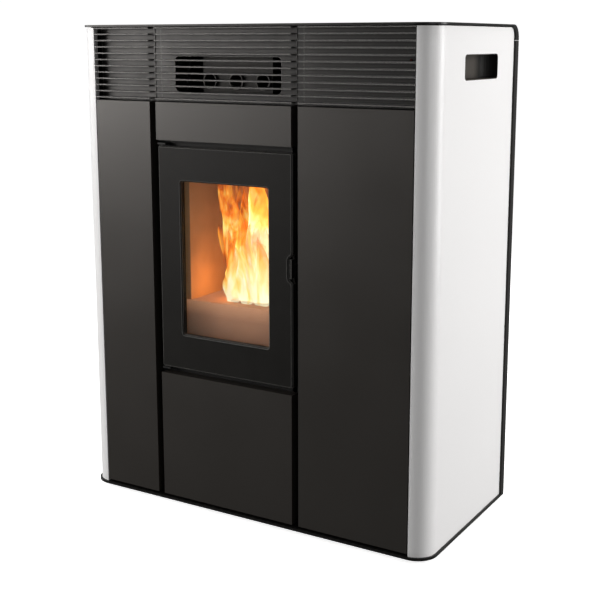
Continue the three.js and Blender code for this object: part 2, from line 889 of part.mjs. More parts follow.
function makeGrille() {
  const opening = alongY(ventOutline(0), behind(slatDepth) - past,
    behind(slatDepth + backingSheet) + past, 0, 4);
  const leftPanelRight = panelLeftX + leftPanelWidth;
  add('grille_left', comb(panelLeftX, leftPanelRight), blackPaint);
  const centre = comb(columnLeft, columnRight);
  add('grille_centre', cut(centre, webWindow()), blackPaint);
  add('grille_right', comb(rightPanelLeft, panelRightX), blackPaint);
  const backing = block(panelLeftX, panelRightX, behind(slatDepth), behind(slatDepth + backingSheet),
    grilleBottom, plateUnder);
  add('grille_backing_plate', backing.subtract(opening), blackPaint);
  const slat = slatTops[receiverSlat];
  const x = panelRightX - receiverInset;
  const z = slat + receiverAboveSlat;
  const web = behind(slatDepth - webSheet);
  add('remote_receiver', rodY(receiverRadius, x, z, web - receiverLength, web, 12), receiverRed);
}

// Only the web between the slats is cut away, so the slats run across the window.
function webWindow() {
  const y0 = behind(slatDepth - webSheet);
  const y1 = behind(slatDepth);
  let opening = alongY(ventOutline(0), y0 - past, y1 + past, 0, 4);
  for (const z of slatTops) {
    opening = opening.subtract(block(-halfWidth, halfWidth, y0 - 2 * past, y1 + 2 * past,
      z - slatHeight, z));
  }
  return opening;
}

// ---------------------------------------------------------------- frame behind the panels
// Two sheets stand side by side, and the tail of the door lever passes between them.
function makeFrontFrame() {
  const y0 = behind(panelDepth);
  const y1 = behind(frameBack);
  const sheet = block(-frameSideX, leverX() - leverSwingRoom, y0, y1, baseTop, plateUnder);
  const mouth = block(fireLeft, fireRight, y0 - past, y1 + past, doorBottom + mouthMargin,
    doorTop - mouthMargin);
  const vent = alongY(ventOutline(frameVentMargin), y0 - past, y1 + past, 0, 4);
  const parts = [cut(sheet, mouth, vent)];
  for (const upper of [false, true]) parts.push(hingeBracket(upper));
  add('front_frame', join(...parts), framePaint);
  const right = block(leverX() + leverSideRoom, frameSideX, y0, y1, baseTop, plateUnder);
  add('front_frame_right', right, framePaint);
}

function hingeBracket(upper) {
  const leafZ = upper ? doorTop + hingeLeafGap : doorBottom - hingeLeafGap - hingeLeafThickness;
  const leaf = block(hingeX - hingeLeafWidth / 2, hingeX + hingeLeafWidth / 2,
    behind(hingeBehind - hingePinRadius - hingeLeafLap), behind(frameBack), leafZ,
      leafZ + hingeLeafThickness);
  const pinBottom = upper ? doorTop - hingePinLength : leafZ + hingeLeafThickness / 2;
  const pinTop = upper ? leafZ + hingeLeafThickness / 2 : doorBottom + hingePinLength;
  return leaf.add(rodZ(hingePinRadius, hingeX, behind(hingeBehind), pinBottom, pinTop));
}

// ---------------------------------------------------------------- door
function doorOutline() {
  const r = doorCornerRadius;
  const x0 = columnLeft;
  const x1 = columnRight;
  const z0 = doorBottom;
  const z1 = doorTop;
  const n0 = notchBottom;
  const n1 = notchBottom + notchHeight;
  const xn = x1 - notchDepth;
  const e = notchRadius;
  const h = Math.min(e, notchDepth / 2);
  const shape = new THREE.Shape();
  shape.moveTo(x0 + r, z0);
  shape.lineTo(x1 - r, z0);
  shape.quadraticCurveTo(x1, z0, x1, z0 + r);
  shape.lineTo(x1, n0 - h);
  shape.quadraticCurveTo(x1, n0, xn + h, n0 + h / 2);
  shape.quadraticCurveTo(xn, n0 + h, xn, n0 + h + e);
  shape.lineTo(xn, n1 - h - e);
  shape.quadraticCurveTo(xn, n1 - h, xn + h, n1 - h / 2);
  shape.quadraticCurveTo(x1, n1, x1, n1 + h);
  shape.lineTo(x1, z1 - r);
  shape.quadraticCurveTo(x1, z1, x1 - r, z1);
  shape.lineTo(x0 + r, z1);
  shape.quadraticCurveTo(x0, z1, x0, z1 - r);
  shape.lineTo(x0, z0 + r);
  shape.quadraticCurveTo(x0, z0, x0 + r, z0);
  return shape;
}

function ringShape(x0, x1, z0, z1, radius, width) {
  const shape = rounded(x0, x1, z0, z1, radius);
  const inner = Math.max(radius - width, 1);
  shape.holes.push(rounded(x0 + width, x1 - width, z0 + width, z1 - width, inner));
  return shape;
}

function gasketRing(grow) {
  const i = gasketInset - grow;
  return ringShape(columnLeft + i, columnRight - i, doorBottom + i, doorTop - i,
    gasketCorner + grow, gasketWidth + 2 * grow);
}

function makeDoor() {
  const outline = doorOutline();
  outline.holes.push(rounded(windowLeft, windowRight, glassBottomZ, glassTopZ, windowCornerRadius));
  const slab = alongY(outline, behind(doorInset), behind(doorRear), doorChamfer, 3);
  const lap = glassLap + clearance;
  const pocket = block(windowLeft - lap, windowRight + lap, behind(glassFront), behind(doorRear) + past,
    glassBottomZ - lap, glassTopZ + lap);
  const groove = alongY(gasketRing(clearance), behind(doorRear - gasketGroove),
    behind(doorRear) + past, 0, 2);
  const bore = hingePinRadius + boreClearance;
  const deep = hingePinLength + 1;
  const bores = [
    rodZ(bore, hingeX, behind(hingeBehind), doorBottom - past, doorBottom + deep),
    rodZ(bore, hingeX, behind(hingeBehind), doorTop - deep, doorTop + past),
    rodZ(leverPinRadius + clearance, leverX(), behind(leverPivot()),
      notchBottom - leverPinLength - past, notchBottom + notchHeight + leverPinLength + past, 12),
  ];
  add('door_frame', cut(slab, pocket, groove, ...bores), castIron);
  makeGlass();
  makeGasket();
  makeLever();
}

function makeGlass() {
  const y0 = behind(glassFront + clearance);
  const y1 = y0 + glassThickness;
  add('door_glass', block(windowLeft - glassLap, windowRight + glassLap, y0, y1,
    glassBottomZ - glassLap, glassTopZ + glassLap), ceramicGlass);
  const ring = ringShape(windowLeft - glassLap, windowRight + glassLap,
    glassBottomZ - glassLap, glassTopZ + glassLap, retainerCorner, glassLap - retainerLap);
  add('glass_retainer', alongY(ring, y1, y1 + retainerThickness, 0, 2), galvanised);
}

function makeGasket() {
  const y0 = behind(doorRear - gasketGroove + clearance);
  add('door_gasket', alongY(gasketRing(0), y0, behind(panelDepth) - clearance, gasketBevel, 2), rope);
}

function leverX() {
  return columnRight - notchDepth / 2;
}

function leverPivot() {
  return doorRear - leverPinRadius * 2;
}

function makeLever() {
  const x = leverX();
  const half = leverThickness / 2;
  const z0 = notchBottom + leverEndGap;
  const z1 = notchBottom + notchHeight - leverEndGap;
  const mid = (z0 + z1) / 2;
  const blade = block(x - half, x + half, behind(doorInset + leverFrontInset), behind(doorRear), z0, z1);
  const tail = block(x - leverTailThickness / 2, x + leverTailThickness / 2, behind(doorRear) - past,
    behind(doorRear + leverTailReach), mid - leverTailHeight / 2, mid + leverTailHeight / 2);
  const pin = rodZ(leverPinRadius, x, behind(leverPivot()), notchBottom - leverPinLength,
    notchBottom + notchHeight + leverPinLength, 12);
  add('door_lever', join(blade, tail, pin), castIron);
}

// ---------------------------------------------------------------- firebox
function makeFirebox() {
  const y0 = behind(frameBack);
  const outer = block(fireLeft - fireboxWall, fireRight + fireboxWall, y0, behind(fireOuterBack),
    fireboxFloor, fireTop);
  const inner = block(fireLeft, fireRight, y0 - past, behind(fireBack),
    fireboxFloor + fireboxWall, fireTop - fireboxWall);
  const railTop = deckHeight - deckThickness;
  const rails = [
    block(fireLeft - past, fireLeft + railWidth, behind(guardPlateFront + linerBehindGuard),
      behind(fireBack) + past, railTop - railHeight, railTop),
    block(fireRight - railWidth, fireRight + past, behind(guardPlateFront + linerBehindGuard),
      behind(fireBack) + past, railTop - railHeight, railTop),
  ];
  const m = roofHoleMargin;
  const roofHole = block(columnX - exchangerWidth / 2 + m, columnX + exchangerWidth / 2 - m,
    behind(exchangerFront + m), behind(fireBack - m), fireTop - 2 * fireboxWall, fireTop + past);
  const holes = [
    rodY(collarRadius - voluteWall, voluteX, voluteHeight, behind(fireBack) - past,
      behind(fireOuterBack) + past, 28),
    rodY(airPipeRadius + clearance, airPipeX, airPipeZ, behind(fireBack) - past,
      behind(fireOuterBack) + past, 24),
    rodY(igniterRadius + clearance, columnX, airBoxBottom + igniterRise, behind(fireBack) - past,
      behind(fireOuterBack) + past, 12),
    chutePrism(clearance, chuteHalfWidth + clearance),
  ];
  add('firebox_shell', cut(join(outer.subtract(inner), ...rails), roofHole, ...holes), castIron);
}

function makeExchanger() {
  const w = exchangerWall;
  const x0 = columnX - exchangerWidth / 2;
  const x1 = columnX + exchangerWidth / 2;
  const outer = block(x0, x1, behind(exchangerFront), behind(fireOuterBack), fireTop, exchangerTop);
  const inner = block(x0 + w, x1 - w, behind(exchangerFront + w), behind(fireOuterBack - w),
    fireTop - past, exchangerTop - w);
  const y0 = behind(exchangerFront - tubeProud);
  const y1 = behind(fireOuterBack + ductSheet + tubeProud);
  const tubes = tubePlaces().map((x) => rodY(tubeRadius, x, tubeHeight, y0, y1, 14));
  const bores = tubePlaces().map((x) => rodY(tubeRadius - tubeWall, x, tubeHeight, y0 - past, y1 + past, 14));
  add('heat_exchanger', cut(join(outer.subtract(inner), ...tubes), ...bores), galvanised);
}

function tubePlaces() {
  return Array.from({ length: tubeCount }, (_, i) => columnX + (i - (tubeCount - 1) / 2) * tubePitch);
}

function makeLiners() {
  const top = linerTop;
  const y0 = behind(guardPlateFront + linerBehindGuard);
  const yBack = behind(fireBack - liner);
  add('rear_liner', ribbedLiner(yBack, top), brick);
  add('left_liner', block(fireLeft, fireLeft + liner, y0, yBack, deckHeight, top), brick);
  const right = block(fireRight - liner, fireRight, y0, yBack, deckHeight, top);
  add('right_liner', right.subtract(chutePrism(clearance, chuteHalfWidth + clearance)), brick);
  const profile = polygon([
    [behind(fireBack - baffleLength), top + baffleRise],
    [behind(fireBack), top],
    [behind(fireBack), top + baffleThickness],
    [behind(fireBack - baffleLength), top + baffleRise + baffleThickness],
  ]);
  add('baffle_plate', alongX(profile, fireLeft + clearance, fireRight - clearance), brick);
}

function ribbedLiner(y0, top) {
  const slab = block(fireLeft, fireRight, y0, behind(fireBack), deckHeight, top);
  const pitch = (fireRight - fireLeft - 2 * liner) / ribCount;
  const cuts = [];
  for (let i = 0; i < ribCount; i += 1) {
    const x = fireLeft + liner + pitch * (i + 0.5) - ribGap / 2;
    cuts.push(block(x, x + ribGap, y0 - past, y0 + ribDepth, deckHeight - past, top - 2 * liner));
  }
  return cut(slab, ...cuts);
}

function makeDeck() {
  const z0 = deckHeight - deckThickness;
  const y0 = behind(frameBack + deckFrontGap);
  const plate = block(fireLeft + clearance, fireRight - clearance, y0, behind(fireBack) - clearance,
    z0, deckHeight);
  const hole = alongZ(potOutline(2 * clearance), z0 - past, deckHeight + past);
  add('burner_deck', plate.subtract(hole), castIron);
  const top = deckHeight + guardPlateRise;
  const upright = block(fireLeft + guardPlateSideGap, fireRight - guardPlateSideGap, behind(guardPlateFront),
    behind(guardPlateFront + guardPlateSheet), top - guardPlateHeight, top);
  const lip = block(fireLeft + liner + 2 * guardPlateSideGap, fireRight - liner - 2 * guardPlateSideGap,
    behind(guardPlateFront + guardPlateSheet) - past,
      behind(guardPlateFront + guardPlateSheet + guardPlateLip),
    deckHeight, deckHeight + guardPlateSheet);
  add('flame_guard', upright.add(lip), castIron);
}

// ---------------------------------------------------------------- burner
function potOutline(grow) {
  const y = behind(potBehind);
  return rounded(columnX - potLength / 2 - grow, columnX + potLength / 2 + grow,
    y - potDepth / 2 - grow, y + potDepth / 2 + grow, potRadius + grow);
}

function makePot() {
  const bottom = deckHeight - potHeight;
  const cup = alongZ(potOutline(0), bottom, deckHeight + past);
  const rim = alongZ(potOutline(potRim), deckHeight, deckHeight + potRimThickness);
  const hollow = alongZ(potOutline(-potWall), bottom + potWall, deckHeight + 2 * potRimThickness);
  const holes = [];
  for (let i = 0; i < potHoleColumns; i += 1) {
    for (let j = 0; j < potHoleRows; j += 1) {
      const x = columnX + (i - (potHoleColumns - 1) / 2) * potHolePitch;
      const y = behind(potBehind) + (j - (potHoleRows - 1) / 2) * potHolePitch;
      holes.push(rodZ(potHoleRadius, x, y, bottom - past, bottom + 2 * potWall, 6));
    }
  }
  add('burn_pot', cut(cup.add(rim), hollow, ...holes), castIron);
}

function makeAirBox() {
  const g = airBoxMargin;
  const w = airBoxWall;
  const x0 = columnX - potLength / 2 - g;
  const x1 = Math.max(columnX + potLength / 2 + g, airPipeX + airPipeRadius + w);
  const y = behind(potBehind);
  const y0 = y - potDepth / 2 - g;
  const y1 = y + potDepth / 2 + g;
  const z1 = deckHeight - deckThickness;
  const pipe = rodY(airPipeRadius, airPipeX, airPipeZ, y1 - w, rear + rearReach, 24);
  const bore = rodY(airPipeRadius - airPipeWall, airPipeX, airPipeZ, y1 - 2 * w, rear + rearReach + past, 24);
  const outer = block(x0, x1, y0, y1, airBoxBottom, z1);
  const inner = block(x0 + w, x1 - w, y0 + w, y1 - w, airBoxBottom + w, z1 + past);
  const igniterHole = rodY(igniterRadius + clearance, columnX, airBoxBottom + igniterRise,
    y1 - 2 * w, y1 + past, 12);
  add('combustion_air_box', cut(outer.add(pipe), inner, bore, igniterHole), galvanised);
  const tip = y + potDepth / 2 + 2;
  add('igniter', rodY(igniterRadius, columnX, airBoxBottom + igniterRise, tip,
    behind(fireOuterBack) + igniterTail, 12), steel);
}

function makeAshPan() {
  const z0 = fireboxFloor + fireboxWall;
  const x0 = fireLeft + ashPanSideGap;
  const x1 = fireRight - ashPanSideGap;
  const y0 = behind(frameBack + ashPanFrontGap);
  const y1 = behind(fireBack) - clearance;
  const s = ashPanSheet;
  const z1 = airBoxBottom - ashPanTopGap;
  const outer = block(x0, x1, y0, y1, z0, z1);
  const inner = block(x0 + s, x1 - s, y0 + s, y1 - s, z0 + s, z1 + past);
  const gripZ = z1 - s;
  const grip = block(columnX - ashGripLength / 2, columnX + ashGripLength / 2, y0 - ashGripReach, y0 + s,
    gripZ, gripZ + s);
  add('ash_pan', outer.subtract(inner).add(grip), galvanised);
}

// ---------------------------------------------------------------- pellet feed
function onAuger(body) {
  const turned = body.rotate([0, THREE.MathUtils.radToDeg(augerTilt), 0]);
  return turned.translate([augerLowX, behind(augerBehind), augerLowZ]);
}

function augerRod(radius, from, to, sides = 24) {
  return onAuger(rodZ(radius, 0, 0, from, to, sides));
}

function rectangle(x0, x1, y0, y1, z) {
  return [[x0, y0, z], [x1, y0, z], [x1, y1, z], [x0, y1, z]];
}

function hopperForm(inset, top, bottom) {
  const half = (mouthRight - mouthLeft) / 2 - inset;
  const y = behind(augerBehind);
  const mouth = (z) => rectangle(mouthLeft + inset, mouthRight - inset, y - half, y + half, z);
  const wide = (z) => rectangle(hopperLeft + inset, hopperRight - inset,
    behind(hopperFront + inset), behind(hopperRear - inset), z);
  return loft([mouth(bottom), mouth(funnelBottom), wide(funnelTop), wide(top)]);
}

function makeHopper() {
  const outer = hopperForm(0, plateUnder, neckBottom);
  const inner = hopperForm(hopperSheet, plateUnder + past, neckBottom - past);
  const tubeRoom = augerRod(augerTubeRadius + clearance, -motorStub, augerLength);
  const collarRoom = augerRod(augerCollarRadius + clearance, -motorStub, augerEndPlate + clearance);
  const shell = cut(outer.subtract(inner), tubeRoom, collarRoom);
  const ledgeZ = plateUnder - guardDrop - guardBar;
  const ledge = block(hopperLeft + past, hopperRight - past, behind(hopperFront + past),
    behind(hopperRear - past),
    ledgeZ - hopperSheet, ledgeZ);
  const ledgeHole = block(hopperLeft + guardEdge, hopperRight - guardEdge, behind(hopperFront + guardEdge),
    behind(hopperRear - guardEdge), ledgeZ - 2 * hopperSheet, ledgeZ + past);
  add('hopper', shell.add(ledge.subtract(ledgeHole)), galvanised);
}

function makeGuard() {
  const s = hopperSheet + clearance;
  const z0 = plateUnder - guardDrop - guardBar;
  const x0 = hopperLeft + s;
  const x1 = hopperRight - s;
  const y0 = behind(hopperFront + s);
  const y1 = behind(hopperRear - s);
  const sheet = block(x0, x1, y0, y1, z0, z0 + guardBar);
  const columns = Math.max(1, Math.floor((x1 - x0 - guardBar) / guardPitch));
  const step = (x1 - x0 - guardBar) / columns;
  const rowStep = (y1 - y0 - guardBar) / guardRows;
  const holes = [];
  for (let i = 0; i < columns; i += 1) {
    for (let j = 0; j < guardRows; j += 1) {
      const x = x0 + guardBar + i * step;
      const y = y0 + guardBar + j * rowStep;
      holes.push(block(x, x + step - guardBar, y, y + rowStep - guardBar, z0 - past, z0 + guardBar + past));
    }
  }
  add('hopper_guard', cut(sheet, ...holes), steel);
}

function makeAugerTube() {
  const inner = augerTubeRadius - augerTubeWall;
  const outer = augerRod(augerTubeRadius, 0, augerLength);
  const bore = augerRod(inner, augerEndPlate, augerLength - augerEndPlate);
  const s = hopperSheet;
  const half = (mouthRight - mouthLeft) / 2 - s;
  const y = behind(augerBehind);
  const feed = block(mouthLeft + s, mouthRight - s, y - half, y + half, augerLowZ, funnelBottom)
    .intersect(augerRod(augerTubeRadius + past, augerEndPlate + 2, augerLength));
  const shaftHole = augerRod(augerShaftRadius + clearance, -1, augerEndPlate + past, 16);
  const drop = chutePrism(-chuteSheet, chuteHalfWidth - chuteSheet, chuteDrop)
    .intersect(augerRod(augerTubeRadius + past, 0, augerLength - augerEndPlate - past));
  const collar = augerRod(augerCollarRadius, 0, augerEndPlate);
  add('auger_tube', cut(outer.add(collar), bore, feed, shaftHole, drop), steel);
}

// One unbroken helical flight wound round the shaft.
function flight(from, to) {
  const turns = (to - from) / flightPitch;
  const steps = Math.round(turns * flightSteps);
  const rings = [];
  for (let i = 0; i <= steps; i += 1) {
    const angle = (i / steps) * turns * 2 * Math.PI;
    const z = from + ((to - from) * i) / steps;
    const at = (radius, height) => [radius * Math.cos(angle), radius * Math.sin(angle), z + height];
    const root = augerShaftRadius - flightRoot;
    const t = flightThickness / 2;
    rings.push([at(root, -t), at(root, t), at(flightRadius, t), at(flightRadius, -t)]);
  }
  return loft(rings);
}

function makeScrew() {
  const start = augerEndPlate + augerEndGap;
  const end = augerLength - augerEndPlate - augerEndGap;
  const shaft = rodZ(augerShaftRadius, 0, 0, -motorStub + augerEndGap, end, 16);
  const wound = flight(start + flightThickness, end - flightThickness);
  add('auger_screw', onAuger(shaft.add(wound)), steel);
}

function makeAugerMotor() {
  const gearbox = block(-motorWidth / 2, motorWidth / 2, -motorDepth / 2, motorDepth / 2, -motorLength, 0);
  const can = rodZ(motorCanRadius, 0, 0, -motorLength - motorCanLength, -motorLength + past, 20);
  const bore = rodZ(augerShaftRadius + clearance, 0, 0, -motorStub, 1, 16);
  const body = gearbox.add(can).subtract(bore).translate([0, 0, -clearance]);
  add('auger_motor', onAuger(body), plastic);
}

function chutePrism(grow, halfY, extra = 0) {
  const h = chuteHalfWidth + grow;
  const c = h * Math.SQRT1_2;
  const x0 = chuteStartX + extra * Math.SQRT1_2;
  const z0 = chuteStartZ + extra * Math.SQRT1_2;
  const x1 = chuteStartX - chuteRun;
  const z1 = chuteStartZ - chuteRun;
  const profile = polygon([[x0 - c, z0 + c], [x1 - c, z1 + c], [x1 + c, z1 - c], [x0 + c, z0 - c]]);
  const y = behind(augerBehind);
  return alongY(profile, y - halfY, y + halfY);
}

function makeChute() {
  const outer = chutePrism(0, chuteHalfWidth);
  const h = chuteHalfWidth - chuteSheet;
  const bore = chutePrism(-chuteSheet, h, 2 * augerTubeRadius)
    .add(chutePrism(-chuteSheet, h).translate([-chuteSheet, 0, -chuteSheet]));
  const tube = augerRod(augerTubeRadius + clearance, -motorStub, augerLength + augerTubeRadius);
  const flush = fireRight - liner;
  const beyond = block(fireLeft, flush, behind(0), rear, fireboxFloor, fireTop);
  add('pellet_chute', cut(outer, bore, tube, beyond), steel);
}

// ---------------------------------------------------------------- room air fan
function makeRoomFan() {
  const x0 = columnX - exchangerWidth / 2;
  const x1 = columnX + exchangerWidth / 2;
  const y0 = behind(fireOuterBack);
  const y1 = y0 + ductDepth;
  const s = ductSheet;
  const outer = block(x0, x1, y0, y1, ductBottom, exchangerTop);
  const inner = block(x0 + s, x1 - s, y0 + s, y1 - s, ductBottom - past, exchangerTop - s);
  const holes = tubePlaces().map((x) => rodY(tubeRadius + clearance, x, tubeHeight, y0 - past,
    y0 + 2 * s, 14));
  const axle = rodX(fanShaftRadius + clearance, behind(rotorBehind), rotorHeight, x0 - past, x1 + past, 16);
  add('room_fan_duct', cut(outer, inner, ...holes, axle), galvanised);
  add('room_fan_rotor', rotor(x0 + s + rotorSideGap, x1 - s - rotorSideGap), steel);
  const motor = rodX(fanMotorRadius, behind(rotorBehind), rotorHeight, x1, x1 + fanMotorLength, 24);
  const bore = rodX(fanShaftRadius + clearance, behind(rotorBehind), rotorHeight, x1 - past,
    x1 + fanMotorLength / 2 + fanMotorPlay, 16);
  add('room_fan_motor', motor.subtract(bore), plastic);
}

function rotor(x0, x1) {
  const y = behind(rotorBehind);
  const z = rotorHeight;
  const parts = [
    rodX(rotorRadius, y, z, x0, x0 + rotorDisc, 18),
    rodX(rotorRadius, y, z, x1 - rotorDisc, x1, 18),
    rodX(fanShaftRadius, y, z, columnX - exchangerWidth / 2, x0 + rotorDisc, 12),
    rodX(fanShaftRadius, y, z, x1 - rotorDisc, columnX + exchangerWidth / 2 + fanMotorLength / 2, 12),
  ];
  for (let i = 0; i < rotorBlades; i += 1) {
    const blade = block(x0 + rotorDisc / 2, x1 - rotorDisc / 2, -rotorBladeWidth / 2, rotorBladeWidth / 2,
      -rotorBladeSheet / 2, rotorBladeSheet / 2);
    const placed = blade.rotate([rotorBladeLean, 0, 0])
      .translate([0, rotorRadius - rotorBladeWidth / 2 - rotorBladeInset, 0]);
    parts.push(placed.rotate([(360 * i) / rotorBlades, 0, 0]).translate([0, y, z]));
  }
  return join(...parts);
}

// ---------------------------------------------------------------- smoke fan
function smokeForm(inset) {
  const y0 = behind(voluteFront) + inset;
  const y1 = behind(voluteBack) - inset;
  const drum = rodY(voluteRadius - inset, voluteX, voluteHeight, y0, y1, 28);
  const outlet = block(voluteX, spigotX + outletHalf - inset, y0, y1,
    spigotZ - outletHalf + inset, spigotZ + outletHalf - inset);
  return drum.add(outlet);
}

function makeSmokeFan() {
  const y0 = behind(voluteFront);
  const y1 = behind(voluteBack);
  const collar = rodY(collarRadius, voluteX, voluteHeight, behind(fireOuterBack), y0 + past, 28);
  const collarBore = rodY(collarRadius - voluteWall, voluteX, voluteHeight, behind(fireOuterBack) - past,
    y0 + voluteWall + past, 28);
  const spigot = rodY(spigotRadius, spigotX, spigotZ, y1 - past, rear + rearReach, 24);
  const spigotBore = rodY(spigotRadius - spigotWall, spigotX, spigotZ, y1 - voluteWall - past,
    rear + rearReach + past, 24);
  const shaftHole = rodY(fanShaftRadius + clearance, voluteX, voluteHeight, y1 - voluteWall - past,
    y1 + past, 16);
  const body = join(smokeForm(0), collar, spigot);
  add('smoke_fan_housing', cut(body, smokeForm(voluteWall), collarBore, spigotBore, shaftHole), castIron);
  add('smoke_fan_impeller', impeller(y0, y1), steel);
  const motor = join(
    rodY(smokeMotorRadius, voluteX, voluteHeight, y1, y1 + smokeMotorStep, 24),
    rodY(smokeMotorTail, voluteX, voluteHeight, y1, y1 + smokeMotorLength, 24));
  const bore = rodY(fanShaftRadius + clearance, voluteX, voluteHeight, y1 - past,
    y1 + smokeMotorLength / 2 + fanMotorPlay, 16);
  add('smoke_fan_motor', motor.subtract(bore), plastic);
}

function impeller(y0, y1) {
  const back = y1 - voluteWall - impellerGap;
  const parts = [
    rodY(impellerRadius, voluteX, voluteHeight, back - impellerDisc, back, 24),
    rodY(impellerHub, voluteX, voluteHeight, back - impellerBladeHeight, back, 12),
    rodY(fanShaftRadius, voluteX, voluteHeight, back - past, y1 + smokeMotorLength / 2, 12),
  ];
  for (let i = 0; i < impellerBlades; i += 1) {
    parts.push(impellerBlade(back - impellerBladeHeight, back - impellerDisc / 2)
      .rotate([0, (360 * i) / impellerBlades, 0]).translate([voluteX, 0, voluteHeight]));
  }
  return join(...parts);
}

function impellerBlade(y0, y1) {
  const r = impellerCurve - impellerBladeSheet;
  const shape = new THREE.Shape();
  const a0 = Math.PI * 0.5;
  const a1 = Math.PI * 0.5 - (impellerRadius - impellerHub) / impellerCurve;
  shape.absarc(0, 0, impellerCurve, a0, a1, true);
  shape.absarc(0, 0, r, a1, a0, false);
  const blade = alongY(shape, y0, y1, 0, 3);
  return blade.translate([impellerHub - impellerRoot, 0, -impellerCurve]);
}

// ---------------------------------------------------------------- controls
function controlOutline(grow) {
  return rounded(controlLeft - grow, controlLeft + controlLength + grow, behind(controlBehind) - grow,
    behind(controlBehind) + controlWidth + grow, controlRadius + grow);
}

function buttonPlaces() {
  const x = controlLeft + controlLength / 2;
  const y = behind(controlBehind) + buttonRow;
  return Array.from({ length: buttonCount }, (_, i) => [x + (i - (buttonCount - 1) / 2) * buttonPitch, y]);
}

function makeControls() {
  const under = plateUnder - clearance;
  const top = overallTop - clearance / 2;
  const well = top - buttonHeight - buttonTravel - buttonWellRoom;
  let body = alongZ(controlOutline(0), under - controlBody, top)
    .add(alongZ(controlOutline(controlFlange), under - panelSheet, under));
  for (const [x, y] of buttonPlaces()) {
    body = body.subtract(rodZ(buttonRadius + clearance, x, y, well, top + past, 14));
    body = body.subtract(rodZ(buttonStem + clearance, x, y, under - controlBody - past, well + past, 8));
  }
  add('control_panel', body, plastic);
  buttonPlaces().forEach(([x, y], i) => {
    const capTop = top - buttonSunk;
    const cap = rodZ(buttonRadius, x, y, capTop - buttonHeight, capTop, 14);
    const stem = rodZ(buttonStem, x, y, under - controlBody / 2, capTop - past, 8);
    add(`control_button_${i + 1}`, cap.add(stem), rubber);
  });
}

function makeBoard() {
  const x0 = boardX;
  const y0 = behind(boardBehind);
  const z0 = baseTop;
  const board = block(x0, x0 + boardThickness, y0, y0 + boardLength, z0 + boardFoot / 2,
    z0 + boardFoot / 2 + boardHeight);
  const bracket = block(x0 - boardBracket, x0 + boardThickness / 2, y0 + boardEnd,
    y0 + boardLength - boardEnd, z0, z0 + boardFoot);
  const foot = block(x0 - boardBracket, x0 + boardFoot, y0 + boardEnd, y0 + boardLength - boardEnd,
    z0, z0 + boardFootSheet);
  const face = x0 + boardThickness / 2;
  const parts = boardParts.map(([along, up, width, height, depth]) => block(
    face, face + boardThickness / 2 + depth, y0 + along, y0 + along + width, z0 + up, z0 + up + height));
  add('circuit_board', join(board, bracket, foot, ...parts), boardGreen);
}

function makeInlet() {
  const x0 = inletX - inletWidth / 2;
  const x1 = inletX + inletWidth / 2;
  const z1 = inletZ + inletHeight;
  const face = rear + inletLip;
  const body = block(x0, x1, rear - inletDepth, face, inletZ, z1);
  const f = inletFlange;
  const flange = alongY(rounded(x0 - f, x1 + f, inletZ - f, z1 + f, f), rear, face);
  const socketZ = inletZ + socketRise;
  const socket = block(inletX - socketWidth / 2, inletX + socketWidth / 2, face - socketDepth, face + past,
    socketZ - socketHeight / 2, socketZ + socketHeight / 2);
  const pins = [-socketPinPitch, 0, socketPinPitch].map((dx) => {
    const z0 = socketZ - socketPinDrop + (dx ? 0 : socketPinHeight);
    return block(inletX + dx - socketPinSheet / 2, inletX + dx + socketPinSheet / 2,
      face - socketDepth - past, face - socketPinSunk, z0, z0 + socketPinHeight);
  });
  const rockerZ = rockerCentre();
  const well = block(inletX - rockerWidth / 2 - clearance, inletX + rockerWidth / 2 + clearance,
    face - rockerDepth - rockerRoom, face + past, rockerZ - rockerHeight / 2 - rockerEndRoom,
    rockerZ + rockerHeight / 2 + rockerEndRoom);
  const pinBore = rodX(rockerPinRadius + clearance, face - rockerDepth / 2, rockerZ,
    inletX - rockerWidth / 2 - rockerPinEnd - past, inletX + rockerWidth / 2 + rockerPinEnd + past, 12);
  add('mains_inlet', join(cut(body.add(flange), socket, well, pinBore), ...pins), plastic);
  makeRocker(face, rockerZ);
}

function rockerCentre() {
  return inletZ + rockerRise;
}

function makeRocker(face, z) {
  const y = face - rockerDepth / 2;
  const h = rockerHeight / 2;
  const nose = y + rockerDepth / 2;
  const profile = polygon([[y - rockerBack, z - rockerBackHalf], [nose - rockerDip, z - h], [nose, z],
    [nose + rockerKick, z + h], [y - rockerBack, z + rockerBackHalf]]);
  const body = alongX(profile, inletX - rockerWidth / 2, inletX + rockerWidth / 2);
  const pin = rodX(rockerPinRadius, y, z, inletX - rockerWidth / 2 - rockerPinEnd,
    inletX + rockerWidth / 2 + rockerPinEnd, 12);
  add('power_switch', body.add(pin), plastic);
}

// ---------------------------------------------------------------- assembly
makeBase();
makeFeet();
makeSides();
makeTop();
makeLid();
makeBackPanel();
makeFrontPanels();
makeGrille();
makeFrontFrame();
makeDoor();
makeFirebox();
makeExchanger();
makeLiners();
makeDeck();
makePot();
makeAirBox();
makeAshPan();
makeHopper();
makeGuard();
makeAugerTube();
makeScrew();
makeAugerMotor();
makeChute();
makeRoomFan();
makeSmokeFan();
makeControls();
makeBoard();
makeInlet();

export default stove;
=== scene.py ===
import math
import random

